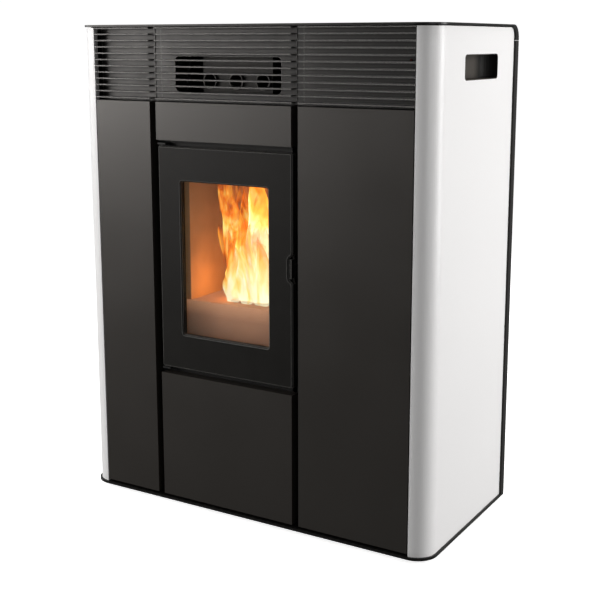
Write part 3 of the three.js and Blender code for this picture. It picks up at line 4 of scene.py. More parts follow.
import bmesh
import bpy
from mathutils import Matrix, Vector


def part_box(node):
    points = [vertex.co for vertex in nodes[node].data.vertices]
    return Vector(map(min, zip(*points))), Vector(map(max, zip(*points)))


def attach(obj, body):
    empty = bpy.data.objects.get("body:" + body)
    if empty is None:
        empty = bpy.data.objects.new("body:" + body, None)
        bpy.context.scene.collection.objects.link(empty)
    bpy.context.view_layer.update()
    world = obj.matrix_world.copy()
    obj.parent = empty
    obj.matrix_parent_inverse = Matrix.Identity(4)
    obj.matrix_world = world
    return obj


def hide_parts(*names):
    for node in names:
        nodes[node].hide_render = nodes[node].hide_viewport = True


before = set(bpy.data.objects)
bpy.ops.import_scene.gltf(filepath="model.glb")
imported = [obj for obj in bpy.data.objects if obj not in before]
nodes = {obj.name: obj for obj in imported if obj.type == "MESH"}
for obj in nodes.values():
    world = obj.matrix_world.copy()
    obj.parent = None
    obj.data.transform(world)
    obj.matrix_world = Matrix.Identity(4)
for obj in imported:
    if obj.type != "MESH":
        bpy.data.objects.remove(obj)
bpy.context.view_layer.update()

scene = bpy.context.scene
MM = 0.001


# ------------------------------------------------------------ camera and light
# The photograph is taken from the right of the front, with the eye near the top of the stove.
# Places are in metres, angles in degrees, and the lens in mm.
CAMERA_AT = (1.3428, -2.2185, 1.0795)
CAMERA_TURN = 30.73
CAMERA_DIP = 10.54
CAMERA_LENS = 67.15
CAMERA_SHIFT = (-0.0104, -0.085)
WORLD_GLOW = 0.22
FLOOR_GLOW = 0.82
WARM_CARD = (1, 0.955, 0.92)
# Cards are seen in the gloss alone. The corner fill lights paint, but leaves no reflection.
LIGHTS = [
    dict(name="right", at=(3.0, 1.1, 1.15), target=(0.45, 0, 0.6), size=(1.3, 2.2), power=86),
    dict(name="left", at=(-3.0, -0.7, 1.6), target=(-0.45, 0, 0.65), size=(1.6, 2.0), power=45),
    dict(name="above", at=(0.2, 0.3, 3.2), target=(0, 0.1, 0.8), size=(2.6, 2.0), power=34),
    dict(name="behind", at=(-0.9, 2.8, 1.8), target=(0, 0.2, 0.6), size=(2.0, 1.8), power=24),
    dict(name="front_card", at=(-2.5, -2.1, 1.6), target=(-0.3, -0.2, 0.75), size=(1.7, 1.7),
         power=106, color=WARM_CARD, diffuse=False),
    dict(name="upper_card", at=(-1.6, -1.9, 2.7), target=(-0.1, -0.2, 0.85), size=(1.0, 0.8),
         power=10, color=WARM_CARD, diffuse=False),
    dict(name="right_card", at=(2.9, -2.1, 1.1), target=(0, -0.2, 0.7), size=(0.7, 1.8),
         power=16, diffuse=False),
    dict(name="corner_fill", at=(-1.5, -1.9, 0.9), target=(-0.45, -0.25, 0.6), size=(0.9, 1.2),
         power=23, glossy=False),
]


def make_camera():
    """The photograph's own view."""
    data = bpy.data.cameras.new("camera")
    data.lens = CAMERA_LENS
    data.sensor_width = 36
    data.shift_x, data.shift_y = CAMERA_SHIFT
    data.clip_start = 0.05
    camera = bpy.data.objects.new("camera", data)
    camera.location = CAMERA_AT
    camera.rotation_euler = (math.radians(90 - CAMERA_DIP), 0, math.radians(CAMERA_TURN))
    scene.collection.objects.link(camera)
    scene.camera = camera


def area_light(name, at, target, size, power, color=(1, 1, 1), diffuse=True, glossy=True):
    """A rectangular light that faces its target."""
    data = bpy.data.lights.new(name, "AREA")
    data.shape = "RECTANGLE"
    data.size, data.size_y = size
    data.energy = power
    data.color = color
    light = bpy.data.objects.new(name, data)
    light.location = at
    aim = Vector(target) - Vector(at)
    light.rotation_euler = aim.to_track_quat("-Z", "Y").to_euler()
    light.visible_diffuse = diffuse
    light.visible_glossy = glossy
    light.visible_transmission = glossy
    scene.collection.objects.link(light)


def point_light(name, at, radius, power, color):
    """A small light that is never seen itself, only what it lights."""
    data = bpy.data.lights.new(name, "POINT")
    data.energy = power
    data.shadow_soft_size = radius
    data.color = color
    light = bpy.data.objects.new(name, data)
    light.location = at
    light.visible_camera = False
    light.visible_transmission = False
    light.visible_glossy = False
    scene.collection.objects.link(light)


def sweep_profile():
    """Half a section through the studio sweep: a flat floor that curves up far away."""
    flat, bend, top, steps = 7.0, 3.0, 9.0, 8
    points = [(0.02, 0), (1.5, 0), (3.5, 0), (flat, 0)]
    for step in range(1, steps + 1):
        a = math.radians(90 * step / steps)
        points.append((flat + bend * math.sin(a), bend * (1 - math.cos(a))))
    return points + [(flat + bend, top)]


def make_floor():
    """A pale sweep, which the camera sees and the stove's paint doesn't."""
    mesh = bmesh.new()
    rings = [[(r * math.cos(a), r * math.sin(a), z) for a in circle(64)]
             for r, z in sweep_profile()]
    made = skin(mesh, rings, caps=False)
    mesh.faces.new(list(reversed(made[0])))
    floor = bpy.data.objects.new("floor", finished_mesh("floor", mesh))
    scene.collection.objects.link(floor)
    floor.visible_diffuse = False
    floor.visible_glossy = False
    paper = mottled("floor_paper", (0.8, 0.8, 0.8), 0.9, 3, 0.01, 60, 0.02, specular=0.0)
    shader = paper.node_tree.nodes["Principled BSDF"]
    shader.inputs["Emission Color"].default_value = (1, 1, 1, 1)
    shader.inputs["Emission Strength"].default_value = FLOOR_GLOW
    floor.data.materials.append(paper)


def make_studio():
    """White surroundings, the lights and the floor."""
    scene.view_settings.view_transform = "Standard"
    world = bpy.data.worlds.new("studio")
    world.use_nodes = True
    world.node_tree.nodes["Background"].inputs["Color"].default_value = (1, 1, 1, 1)
    world.node_tree.nodes["Background"].inputs["Strength"].default_value = WORLD_GLOW
    scene.world = world
    for light in LIGHTS:
        area_light(**light)
    make_floor()


# ------------------------------------------------------------ materials
# How far the slat paint looks round for other faces when it paints shade in the gaps, and how wide its
# painted highlights along the noses are.
SLAT_SHADE_REACH = 7 * MM
SLAT_NOSE_HIGHLIGHT = 0.9 * MM


def noise(tree, coords, scale, detail=3, rough=0.5, distortion=0.0):
    """A cloudy value between 0 and 1."""
    made = tree.nodes.new("ShaderNodeTexNoise")
    made.inputs["Scale"].default_value = scale
    made.inputs["Detail"].default_value = detail
    made.inputs["Roughness"].default_value = rough
    made.inputs["Distortion"].default_value = distortion
    tree.links.new(coords, made.inputs["Vector"])
    return made.outputs[0]


def remap(tree, value, low, high, out_low, out_high):
    """Stretches the range from low to high onto another one, and holds it at both ends."""
    made = tree.nodes.new("ShaderNodeMapRange")
    made.inputs["From Min"].default_value = low
    made.inputs["From Max"].default_value = high
    made.inputs["To Min"].default_value = out_low
    made.inputs["To Max"].default_value = out_high
    tree.links.new(value, made.inputs["Value"])
    return made.outputs["Result"]


def join(tree, value, socket):
    """Sets an input to a plain value, or links another node's output to it."""
    if isinstance(value, bpy.types.NodeSocket):
        tree.links.new(value, socket)
    else:
        socket.default_value = value


def math_node(tree, operation, first, second, third=0.0):
    """A sum or product. Each input is a number or another node's output."""
    made = tree.nodes.new("ShaderNodeMath")
    made.operation = operation
    for value, socket in zip((first, second, third), made.inputs):
        join(tree, value, socket)
    return made.outputs["Value"]


def ramp(tree, value, stops):
    """A colour that follows a value through (place, colour) stops."""
    made = tree.nodes.new("ShaderNodeValToRGB")
    line = made.color_ramp
    while len(line.elements) < len(stops):
        line.elements.new(0.5)
    for element, (place, color) in zip(line.elements, stops):
        element.position = place
        element.color = (*color, 1)
    tree.links.new(value, made.inputs["Fac"])
    return made.outputs["Color"]


def scaled(color, share):
    """A darker or lighter shade of a colour."""
    return tuple(min(1, c * share) for c in color)


def begin(name, roughness, metallic=0.0, specular=0.5):
    """A new material, with its node tree, its shader and its place on the piece."""
    material = bpy.data.materials.new(name)
    material.use_nodes = True
    tree = material.node_tree
    shader = tree.nodes["Principled BSDF"]
    shader.inputs["Roughness"].default_value = roughness
    shader.inputs["Metallic"].default_value = metallic
    shader.inputs["Specular IOR Level"].default_value = specular
    coords = tree.nodes.new("ShaderNodeTexCoord").outputs["Object"]
    return material, tree, shader, coords


def bump(tree, shader, height, strength, distance):
    """Relief from a height pattern, of the depth given in metres."""
    made = tree.nodes.new("ShaderNodeBump")
    made.inputs["Strength"].default_value = strength
    made.inputs["Distance"].default_value = distance
    tree.links.new(height, made.inputs["Height"])
    tree.links.new(made.outputs["Normal"], shader.inputs["Normal"])


def mottled(name, color, roughness, blotch, spread, grain, relief, metallic=0.0, specular=0.5):
    """A finish that varies slowly in colour and roughness, with a fine grain in relief."""
    material, tree, shader, coords = begin(name, roughness, metallic, specular)
    slow = noise(tree, coords, blotch, 4, 0.6)
    tone = ramp(tree, slow, [(0.3, scaled(color, 1 - spread)), (0.7, scaled(color, 1 + spread))])
    tree.links.new(tone, shader.inputs["Base Color"])
    wide = noise(tree, coords, blotch * 3, 5, 0.6)
    tree.links.new(remap(tree, wide, 0.3, 0.7, roughness - 0.05, roughness + 0.05),
                   shader.inputs["Roughness"])
    fine = noise(tree, coords, grain, 2, 0.6)
    bump(tree, shader, fine, relief, 0.0006)
    return material


def speckled_paint(name, color, fleck, roughness, specular):
    """Powder paint: a fine orange peel with small paler flecks."""
    material, tree, shader, coords = begin(name, roughness, 0, specular)
    flecks = noise(tree, coords, 1400, 2, 0.7)
    tone = ramp(tree, flecks, [(0.5, color), (0.72, fleck)])
    tree.links.new(tone, shader.inputs["Base Color"])
    slow = noise(tree, coords, 5, 3)
    tree.links.new(remap(tree, slow, 0.3, 0.7, roughness - 0.03, roughness + 0.03),
                   shader.inputs["Roughness"])
    peel = noise(tree, coords, 420, 3, 0.6)
    bump(tree, shader, peel, 0.25, 0.0004)
    return material


def brushed(name, color, roughness, stretch):
    """Metal with fine drawn lines along one axis."""
    material, tree, shader, coords = begin(name, roughness, 1.0)
    mapping = tree.nodes.new("ShaderNodeMapping")
    mapping.inputs["Scale"].default_value = stretch
    tree.links.new(coords, mapping.inputs["Vector"])
    lines = noise(tree, mapping.outputs["Vector"], 300, 3, 0.7)
    tree.links.new(ramp(tree, lines, [(0.3, scaled(color, 0.82)), (0.7, scaled(color, 1.12))]),
                   shader.inputs["Base Color"])
    tree.links.new(remap(tree, lines, 0.3, 0.7, roughness - 0.06, roughness + 0.1),
                   shader.inputs["Roughness"])
    bump(tree, shader, lines, 0.12, 0.0003)
    return material


def galvanised(name, color):
    """Zinc-coated sheet with faint crystals."""
    material, tree, shader, coords = begin(name, 0.42, 0.9)
    crystals = tree.nodes.new("ShaderNodeTexVoronoi")
    crystals.inputs["Scale"].default_value = 130
    tree.links.new(coords, crystals.inputs["Vector"])
    tree.links.new(ramp(tree, crystals.outputs["Color"], [(0.2, scaled(color, 0.8)), (0.8, color)]),
                   shader.inputs["Base Color"])
    slow = noise(tree, coords, 30, 4)
    tree.links.new(remap(tree, slow, 0.3, 0.7, 0.34, 0.52), shader.inputs["Roughness"])
    return material


def make_materials():
    """Every finish by its short name.

    A mottled finish is given by its colour, roughness, blotch scale, colour spread, grain
    scale and relief, and a speckled paint by its two colours, roughness and specular level.
    """
    return {
        "white": speckled_paint("white_satin_paint", (0.83, 0.817, 0.810), (0.9, 0.89, 0.885),
                                0.36, 0.34),
        "black": speckled_paint("black_satin_paint", (0.0165, 0.0135, 0.0105), (0.027, 0.023, 0.019),
                                0.42, 0.40),
        "plate": speckled_paint("black_plate_paint", (0.0040, 0.0036, 0.0031), (0.008, 0.0072, 0.0064),
                                0.36, 0.24),
        "rear": speckled_paint("black_rear_paint", (0.0085, 0.0076, 0.0066), (0.015, 0.0135, 0.012),
                               0.42, 0.26),
        "slat": slat_paint(),
        "frame": mottled("black_frame_paint", (0.006, 0.006, 0.0058), 0.6, 6, 0.2, 500, 0.2,
                         specular=0.25),
        "door": door_paint(),
        "exchanger": mottled("painted_exchanger", (0.030, 0.027, 0.024), 0.5, 30, 0.2, 500, 0.3,
                             specular=0.3),
        "cast": mottled("sooty_cast_iron", (0.035, 0.032, 0.03), 0.62, 22, 0.35, 420, 0.5,
                        metallic=0.3),
        "guard": plate_with_painted_firelight(),
        "brick": mottled("vermiculite_board", (0.42, 0.235, 0.105), 0.85, 18, 0.14, 240, 0.6),
        "zinc": galvanised("galvanised_sheet", (0.62, 0.63, 0.64)),
        "rim": brushed("rolled_tube_lip", (0.26, 0.25, 0.24), 0.5, (1, 0.08, 1)),
        "tube": brushed("drawn_steel_tube", (0.66, 0.66, 0.66), 0.3, (1, 0.08, 1)),
        "steel": brushed("turned_steel", (0.58, 0.58, 0.57), 0.32, (1, 1, 0.1)),
        "rubber": mottled("foot_rubber", (0.018, 0.018, 0.018), 0.8, 20, 0.2, 600, 0.4),
        "plastic": mottled("moulded_black_plastic", (0.018, 0.017, 0.016), 0.42, 14, 0.12, 900, 0.3),
        "grip": grip_plastic_with_painted_shade(),
        "rope": mottled("glass_fibre_rope", (0.10, 0.095, 0.09), 0.95, 60, 0.3, 1500, 0.9),
        "board": mottled("printed_board_green", (0.02, 0.11, 0.05), 0.4, 80, 0.35, 500, 0.2),
        "receiver": mottled("red_lens", (0.045, 0.008, 0.007), 0.12, 40, 0.1, 300, 0.02),
        "glass": ceramic_glass(),
        "ember": ember_material(),
        "display": mottled("smoked_display", (0.006, 0.007, 0.009), 0.08, 9, 0.1, 300, 0.02),
        "print": mottled("pale_print", (0.55, 0.55, 0.54), 0.5, 60, 0.08, 900, 0.1),
    }


def tint(material, kind, share, color):
    """Blends a colour over the material's own. Both may come from another node's output."""
    tree = material.node_tree
    base = tree.nodes["Principled BSDF"].inputs["Base Color"]
    blend = tree.nodes.new("ShaderNodeMixRGB")
    blend.blend_type = kind
    tree.links.new(base.links[0].from_socket, blend.inputs["Color1"])
    join(tree, share, blend.inputs["Fac"])
    join(tree, color, blend.inputs["Color2"])
    tree.links.new(blend.outputs["Color"], base)


def place_in_piece(tree, axis):
    """A value from 0 to 1 across the piece, along the axis X, Y or Z."""
    parts = tree.nodes.new("ShaderNodeSeparateXYZ")
    tree.links.new(tree.nodes["Texture Coordinate"].outputs["Generated"], parts.inputs[0])
    return parts.outputs[axis]


def painted_edge_highlights(material, highlight_color, radius):
    """Paints highlights: lightens the paint in a narrow band along every sharp edge, in place of the
    glints of light there.
    """
    tree = material.node_tree
    rounded = tree.nodes.new("ShaderNodeBevel")
    rounded.samples = 6
    rounded.inputs["Radius"].default_value = radius
    flat = tree.nodes.new("ShaderNodeNewGeometry")
    agree = tree.nodes.new("ShaderNodeVectorMath")
    agree.operation = "DOT_PRODUCT"
    tree.links.new(rounded.outputs["Normal"], agree.inputs[0])
    tree.links.new(flat.outputs["Normal"], agree.inputs[1])
    edge = remap(tree, agree.outputs["Value"], 0.995, 0.95, 0.0, 1.0)
    # Painted highlight: the band along the edges takes the paler colour.
    tint(material, "MIX", edge, (*highlight_color, 1))
    return material


def door_paint():
    """Dull black paint on the cast door, with painted highlights: a paler band along its edges."""
    paint = mottled("painted_cast_door", (0.0090, 0.0084, 0.0074), 0.5, 9, 0.12, 700, 0.3,
                    specular=0.115)
    # Painted highlights about 2 mm wide along the door's edges.
    return painted_edge_highlights(paint, (0.16, 0.155, 0.145), 2.2 * MM)


def slat_paint():
    """Satin paint with painted highlights along the noses, and painted shade in the gaps and on upward
    faces, where the gloss is taken away.
    """
    material = mottled("black_slat_paint", (0.0100, 0.0092, 0.0084), 0.42, 9, 0.1, 700, 0.2,
                       specular=0.4)
    tree = material.node_tree
    shader = tree.nodes["Principled BSDF"]
    # Painted shade: the gloss fades where other faces are near, in the gaps between the slats.
    depth = tree.nodes.new("ShaderNodeAmbientOcclusion")
    depth.samples = 6
    depth.inputs["Distance"].default_value = SLAT_SHADE_REACH
    gloss_under_painted_shade = remap(tree, depth.outputs["AO"], 0.30, 0.72, 0.01, 0.43)
    # Painted shade: upward faces lose their gloss, which draws a dark line above each nose.
    surface = tree.nodes.new("ShaderNodeNewGeometry")
    facing = tree.nodes.new("ShaderNodeSeparateXYZ")
    tree.links.new(surface.outputs["Normal"], facing.inputs[0])
    painted_ledge_shade = remap(tree, facing.outputs["Z"], 0.5, 0.9, 1.0, 0.04)
    gloss = math_node(tree, "MULTIPLY", gloss_under_painted_shade, painted_ledge_shade)
    tree.links.new(gloss, shader.inputs["Specular IOR Level"])
    # Painted highlights in a pale band along the noses.
    return painted_edge_highlights(material, (0.50, 0.48, 0.46), SLAT_NOSE_HIGHLIGHT)


def grip_plastic_with_painted_shade():
    """Grey moulded plastic with painted shade: lighter towards the front end of the cup and darker
    towards its rear end.
    """
    material = mottled("moulded_grip_plastic", (0.04, 0.037, 0.033), 0.6, 14, 0.12, 900, 0.3,
                       specular=0.12)
    tree = material.node_tree
    # Painted shade along the cup: a lift towards the front end and a dark fall towards the rear end.
    shade = ramp(tree, place_in_piece(tree, "Y"),
                 [(0.64, (1.5, 1.45, 1.4)), (0.80, (0.2, 0.2, 0.2))])
    tint(material, "MULTIPLY", 1.0, shade)
    return material


def plate_with_painted_firelight():
    """Rust-brown steel with painted firelight: a faint emission that grows towards its top edge, next
    to the fire, in place of the light that the flames cast on it.
    """
    material = mottled("steel_plate_painted_firelight", (0.21, 0.105, 0.058), 0.6, 14, 0.1, 260, 0.2,
                       metallic=0.1, specular=0.3)
    tree = material.node_tree
    shader = tree.nodes["Principled BSDF"]
    # Painted firelight: emission by height in the piece, strongest along the top edge.
    painted_firelight_ramp = ramp(tree, place_in_piece(tree, "Z"),
                [(0.15, (0.040, 0.022, 0.013)), (0.60, (0.075, 0.038, 0.021)),
                 (0.98, (0.34, 0.165, 0.085))])
    tree.links.new(painted_firelight_ramp, shader.inputs["Emission Color"])
    shader.inputs["Emission Strength"].default_value = 0.72
    return material


def ceramic_glass():
    """Clear glass-ceramic with a faint warm tint and slight smoke haze."""
    material, tree, shader, coords = begin("glass_ceramic", 0.02)
    shader.inputs["Transmission Weight"].default_value = 1.0
    shader.inputs["IOR"].default_value = 1.18
    haze = noise(tree, coords, 7, 4)
    tree.links.new(ramp(tree, haze, [(0.3, (0.90, 0.86, 0.82)), (0.8, (0.97, 0.95, 0.93))]),
                   shader.inputs["Base Color"])
    return material


def ember_material():
    """Charred pellets with glowing cracks."""
    material, tree, shader, coords = begin("glowing_pellets", 0.95)
    cells = noise(tree, coords, 90, 4, 0.7)
    tree.links.new(ramp(tree, cells, [(0.35, (0.02, 0.015, 0.012)), (0.7, (0.3, 0.28, 0.25))]),
                   shader.inputs["Base Color"])
    tree.links.new(ramp(tree, cells, [(0.36, (1.0, 0.34, 0.05)), (0.56, (0.9, 0.10, 0.01)),
                                      (0.7, (0.05, 0.004, 0.0))]),
                   shader.inputs["Emission Color"])
    shader.inputs["Emission Strength"].default_value = 2.2
    bump(tree, shader, noise(tree, coords, 700, 3, 0.7), 0.6, 0.0008)
    return material


# ------------------------------------------------------------ shapes
def circle(count):
    """The angles of that many even steps round a full turn."""
    return [2 * math.pi * k / count for k in range(count)]


def skin(mesh, rings, closed=False, caps=True):
    """Adds faces through rings of points, all of the same count, and returns the corners."""
    made = [[mesh.verts.new(point) for point in ring] for ring in rings]
    count = len(rings[0])
    pairs = list(zip(made, made[1:]))
    if closed:
        pairs.append((made[-1], made[0]))
    for low, high in pairs:
        for k in range(count):
            n = (k + 1) % count
            mesh.faces.new((low[k], low[n], high[n], high[k]))
    if caps and not closed:
        mesh.faces.new(list(reversed(made[0])))
        mesh.faces.new(made[-1])
    return made


def turned(mesh, profile, centre, axis, around, six_sided=()):
    """Revolves (radius, height) pairs round an axis. Those numbered in six_sided get flats."""
    turn = Vector((0, 0, 1)).rotation_difference(Vector(axis)).to_matrix()
    side = math.pi / 3
    rings = []
    for i, (radius, height) in enumerate(profile):
        ring = []
        for a in circle(around):
            reach = radius
            if i in six_sided:
                reach = radius * math.cos(side / 2) / math.cos(a % side - side / 2)
            point = Vector((reach * math.cos(a), reach * math.sin(a), height))
            ring.append(turn @ point + Vector(centre))
        rings.append(ring)
    skin(mesh, rings)


def bead(mesh, centre, radius, thick, around, across):
    """A round bead along a circle that faces the front."""
    x, y, z = centre
    rings = []
    for a in circle(around):
        ring = []
        for b in circle(across):
            reach = radius + thick * math.cos(b)
            ring.append((x + reach * math.cos(a), y + thick * math.sin(b), z + reach * math.sin(a)))
        rings.append(ring)
    skin(mesh, rings, closed=True)


def rounded_outline(x0, x1, y0, y1, radius):
    """Points round a rectangle with rounded corners, seven to a corner."""
    steps = 6
    points = []
    for cx, cy, start in ((x1 - radius, y0 + radius, -90), (x1 - radius, y1 - radius, 0),
                          (x0 + radius, y1 - radius, 90), (x0 + radius, y0 + radius, 180)):
        for j in range(steps + 1):
            a = math.radians(start + 90 * j / steps)
            points.append((cx + radius * math.cos(a), cy + radius * math.sin(a)))
    return points


def rounded_path(x0, x1, z0, z1, radius, step):
    """An upright rounded rectangle whose straights are cut into steps of about that length."""
    corners = [Vector((x, 0, z)) for x, z in rounded_outline(x0, x1, z0, z1, radius)]
    points = []
    for start, end in zip(corners, corners[1:] + corners[:1]):
        count = max(1, int((end - start).length / step))
        points += [start.lerp(end, j / count) for j in range(count)]
    return points


def plate_shape(mesh, outline, z0, z1, edge):
    """A flat plate with a small rounded top edge."""
    centre = sum((Vector((x, y)) for x, y in outline), Vector((0, 0))) / len(outline)
    rings = []
    for inset, z in ((0, z0), (0, z1 - edge), (0.35 * edge, z1 - 0.3 * edge), (edge, z1)):
        ring = []
        for x, y in outline:
            away = (Vector((x, y)) - centre).normalized() * inset
            ring.append((x - away.x, y - away.y, z))
        rings.append(ring)
    skin(mesh, rings)


def finished_mesh(name, mesh, smooth=True):
    """Turns the mesh under construction into a named one."""
    data = bpy.data.meshes.new(name)
    mesh.to_mesh(data)
    mesh.free()
    for face in data.polygons:
        face.use_smooth = smooth
    return data


def add_mesh(name, data, material, body):
    """Puts a mesh into the scene, on the body that it rides with."""
    obj = bpy.data.objects.new(name, data)
    scene.collection.objects.link(obj)
    obj.data.materials.append(material)
    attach(obj, body)
    return obj


def mesh_object(name, mesh, material, body, smooth=True):
    """Finishes a closed shape and adds it to the scene, with its faces turned outwards."""
    bmesh.ops.recalc_face_normals(mesh, faces=mesh.faces)
    return add_mesh(name, finished_mesh(name, mesh, smooth), material, body)


# ------------------------------------------------------------ finishes of the CAD pieces
# Each finish, with the pieces that wear it.
FINISH = {
    "white": ["right_side_panel", "left_side_panel"],
    "black": ["left_front_panel", "right_front_panel", "lower_centre_panel",
              "upper_centre_panel"],
    "plate": ["base_plate", "top_plate", "hopper_lid"],
    "rear": ["back_panel"],
    "slat": ["grille_left", "grille_centre", "grille_right", "grille_backing_plate"],
    "frame": ["front_frame", "front_frame_right", "glass_retainer", "auger_motor",
              "room_fan_motor", "smoke_fan_motor"],
    "door": ["door_frame", "door_lever"],
    "cast": ["firebox_shell", "smoke_fan_housing"],
    "guard": ["flame_guard", "burner_deck", "burn_pot"],
    "brick": ["rear_liner", "left_liner", "right_liner", "baffle_plate"],
    "zinc": ["combustion_air_box", "ash_pan", "room_fan_duct", "hopper", "pellet_chute"],
    "exchanger": ["heat_exchanger"],
    "tube": ["auger_tube"],
    "steel": ["lid_hinge_pin", "igniter", "auger_screw", "room_fan_rotor", "smoke_fan_impeller",
              "hopper_guard"],
    "rubber": ["levelling_foot_front_left", "levelling_foot_front_right",
               "levelling_foot_rear_left", "levelling_foot_rear_right"],
    "grip": ["right_grip_cup", "left_grip_cup"],
    "plastic": ["control_panel", "mains_inlet", "power_switch",
                "control_button_1", "control_button_2", "control_button_3"],
    "rope": ["door_gasket"],
    "board": ["circuit_board"],
    "receiver": ["remote_receiver"],
    "glass": ["door_glass"],
}
SMOOTH_BELOW = math.radians(32)
ROUND_ABOVE = math.radians(40)
TRAY_EDGE = 0.7 * MM


def soft_edges(limit):
    """A node group that shades smoothly across every edge flatter than the limit."""
    group = bpy.data.node_groups.new("soft_edges", "GeometryNodeTree")
    group.interface.new_socket("Geometry", in_out="INPUT", socket_type="NodeSocketGeometry")
    group.interface.new_socket("Geometry", in_out="OUTPUT", socket_type="NodeSocketGeometry")
    start = group.nodes.new("NodeGroupInput")
    end = group.nodes.new("NodeGroupOutput")
    faces = group.nodes.new("GeometryNodeSetShadeSmooth")
    faces.domain = "FACE"
    edges = group.nodes.new("GeometryNodeSetShadeSmooth")
    edges.domain = "EDGE"
    angle = group.nodes.new("GeometryNodeInputMeshEdgeAngle")
    flat = group.nodes.new("FunctionNodeCompare")
    flat.data_type = "FLOAT"
    flat.operation = "LESS_EQUAL"
    flat.inputs[1].default_value = limit
    link = group.links.new
    link(angle.outputs["Unsigned Angle"], flat.inputs[0])
    link(flat.outputs[0], edges.inputs["Shade Smooth"])
    link(start.outputs[0], faces.inputs["Geometry"])
    link(faces.outputs[0], edges.inputs["Geometry"])
    link(edges.outputs[0], end.inputs[0])
    return group


def soften(obj, group):
    """Shades a piece by the soft_edges group."""
    made = obj.modifiers.new("soft_edges", "NODES")
    made.node_group = group


def round_edges(obj, width):
    """Rounds every edge that is sharper than the limit."""
    made = obj.modifiers.new("round_edges", "BEVEL")
    made.width = width
    made.segments = 2
    made.limit_method = "ANGLE"
    made.angle_limit = ROUND_ABOVE
    made.use_clamp_overlap = True


def dress(materials):
    """Paints every CAD piece. The black front trays also get their bent edges rounded."""
    group = soft_edges(SMOOTH_BELOW)
    for finish, names in FINISH.items():
        for name in names:
            obj = nodes[name]
            obj.data.materials.clear()
            obj.data.materials.append(materials[finish])
            if finish == "black":
                round_edges(obj, TRAY_EDGE)
            soften(obj, group)


# ------------------------------------------------------------ fire
# The burn pot's joint lifts it this far, and the flames with it. They are cut so that their
# tips stay this gap below the baffle even then.
POT_LIFT = 60 * MM
BAFFLE_GAP = 6 * MM
# The widest part of a flame, as a share of its height.
FLAME_BELLY = 0.35
# Tongues are the large flames, hearts the pale ones inside, and spills the low ones in front.
TONGUES = [
    # x, y, foot above the pot, width, depth, height, lean, phase
    (-0.100, -0.084, 0.000, 0.104, 0.060, 0.420, -0.058, 0.3),
    (-0.070, -0.070, -0.008, 0.112, 0.060, 0.480, -0.026, 1.9),
    (-0.030, -0.094, -0.008, 0.108, 0.060, 0.460, 0.002, 3.1),
    (-0.022, -0.066, -0.008, 0.086, 0.046, 0.400, 0.026, 2.5),
    (-0.108, -0.094, 0.004, 0.070, 0.044, 0.230, -0.010, 5.1),
    (-0.060, -0.112, -0.004, 0.074, 0.036, 0.330, -0.020, 3.7),
]
HEARTS = [
    (-0.040, -0.088, -0.008, 0.112, 0.060, 0.330, 0.000, 4.4),
    (-0.078, -0.084, -0.008, 0.092, 0.056, 0.225, -0.004, 1.1),
    (-0.112, -0.082, 0.004, 0.062, 0.040, 0.135, -0.004, 0.9),
]
SPILLS = [
    (-0.094, -0.126, -0.003, 0.056, 0.030, 0.130, -0.004, 2.2),
    (-0.056, -0.128, -0.003, 0.060, 0.028, 0.190, 0.004, 0.6),
    (-0.018, -0.126, -0.003, 0.060, 0.030, 0.160, 0.000, 3.6),
]
FIRE_LIGHTS = [
    # name, x, y, height above the pot, radius, power, colour
    ("fire_low", -0.112, -0.112, 0.032, 0.03, 0.50, (1.0, 0.43, 0.11)),
    ("fire_high", -0.04, -0.09, 0.19, 0.04, 0.045, (1.0, 0.36, 0.10)),
]


def flame_material(name, hot, fall, gusts, scale, strength, cover):
    """Colour and cover both come from one heat value, which falls with height and flickers."""
    material, tree, shader, coords = begin(name, 1.0, 0, 0.0)
    height = tree.nodes.new("ShaderNodeAttribute")
    height.attribute_name = "rise"
    mapping = tree.nodes.new("ShaderNodeMapping")
    mapping.inputs["Scale"].default_value = (1, 1, 0.33)
    tree.links.new(coords, mapping.inputs["Vector"])
    lick = noise(tree, mapping.outputs["Vector"], scale, distortion=0.9)
    flicker = math_node(tree, "MULTIPLY_ADD", lick, gusts, hot - 0.5 * gusts)
    heat = math_node(tree, "MULTIPLY_ADD", height.outputs["Fac"], -fall, flicker)
    shader.inputs["Base Color"].default_value = (0, 0, 0, 1)
    tree.links.new(ramp(tree, heat, [(0.10, (0.30, 0.035, 0.004)), (0.28, (0.90, 0.17, 0.012)),
                                     (0.46, (1.0, 0.42, 0.05)), (0.64, (1.0, 0.78, 0.24)),
                                     (0.82, (1.0, 0.98, 0.66))]),
                   shader.inputs["Emission Color"])
    shader.inputs["Emission Strength"].default_value = strength
    tree.links.new(remap(tree, heat, 0.02, 0.42, 0.0, cover), shader.inputs["Alpha"])
    return material


def flame_width(t):
    """A flame's share of its full width at a share t of its height: a belly, then a taper."""
    if t < FLAME_BELLY:
        return 0.62 + 1.5 * t - 2.1 * t * t
    return 0.887 * (1 - (t - FLAME_BELLY) / (1 - FLAME_BELLY)) ** 0.85


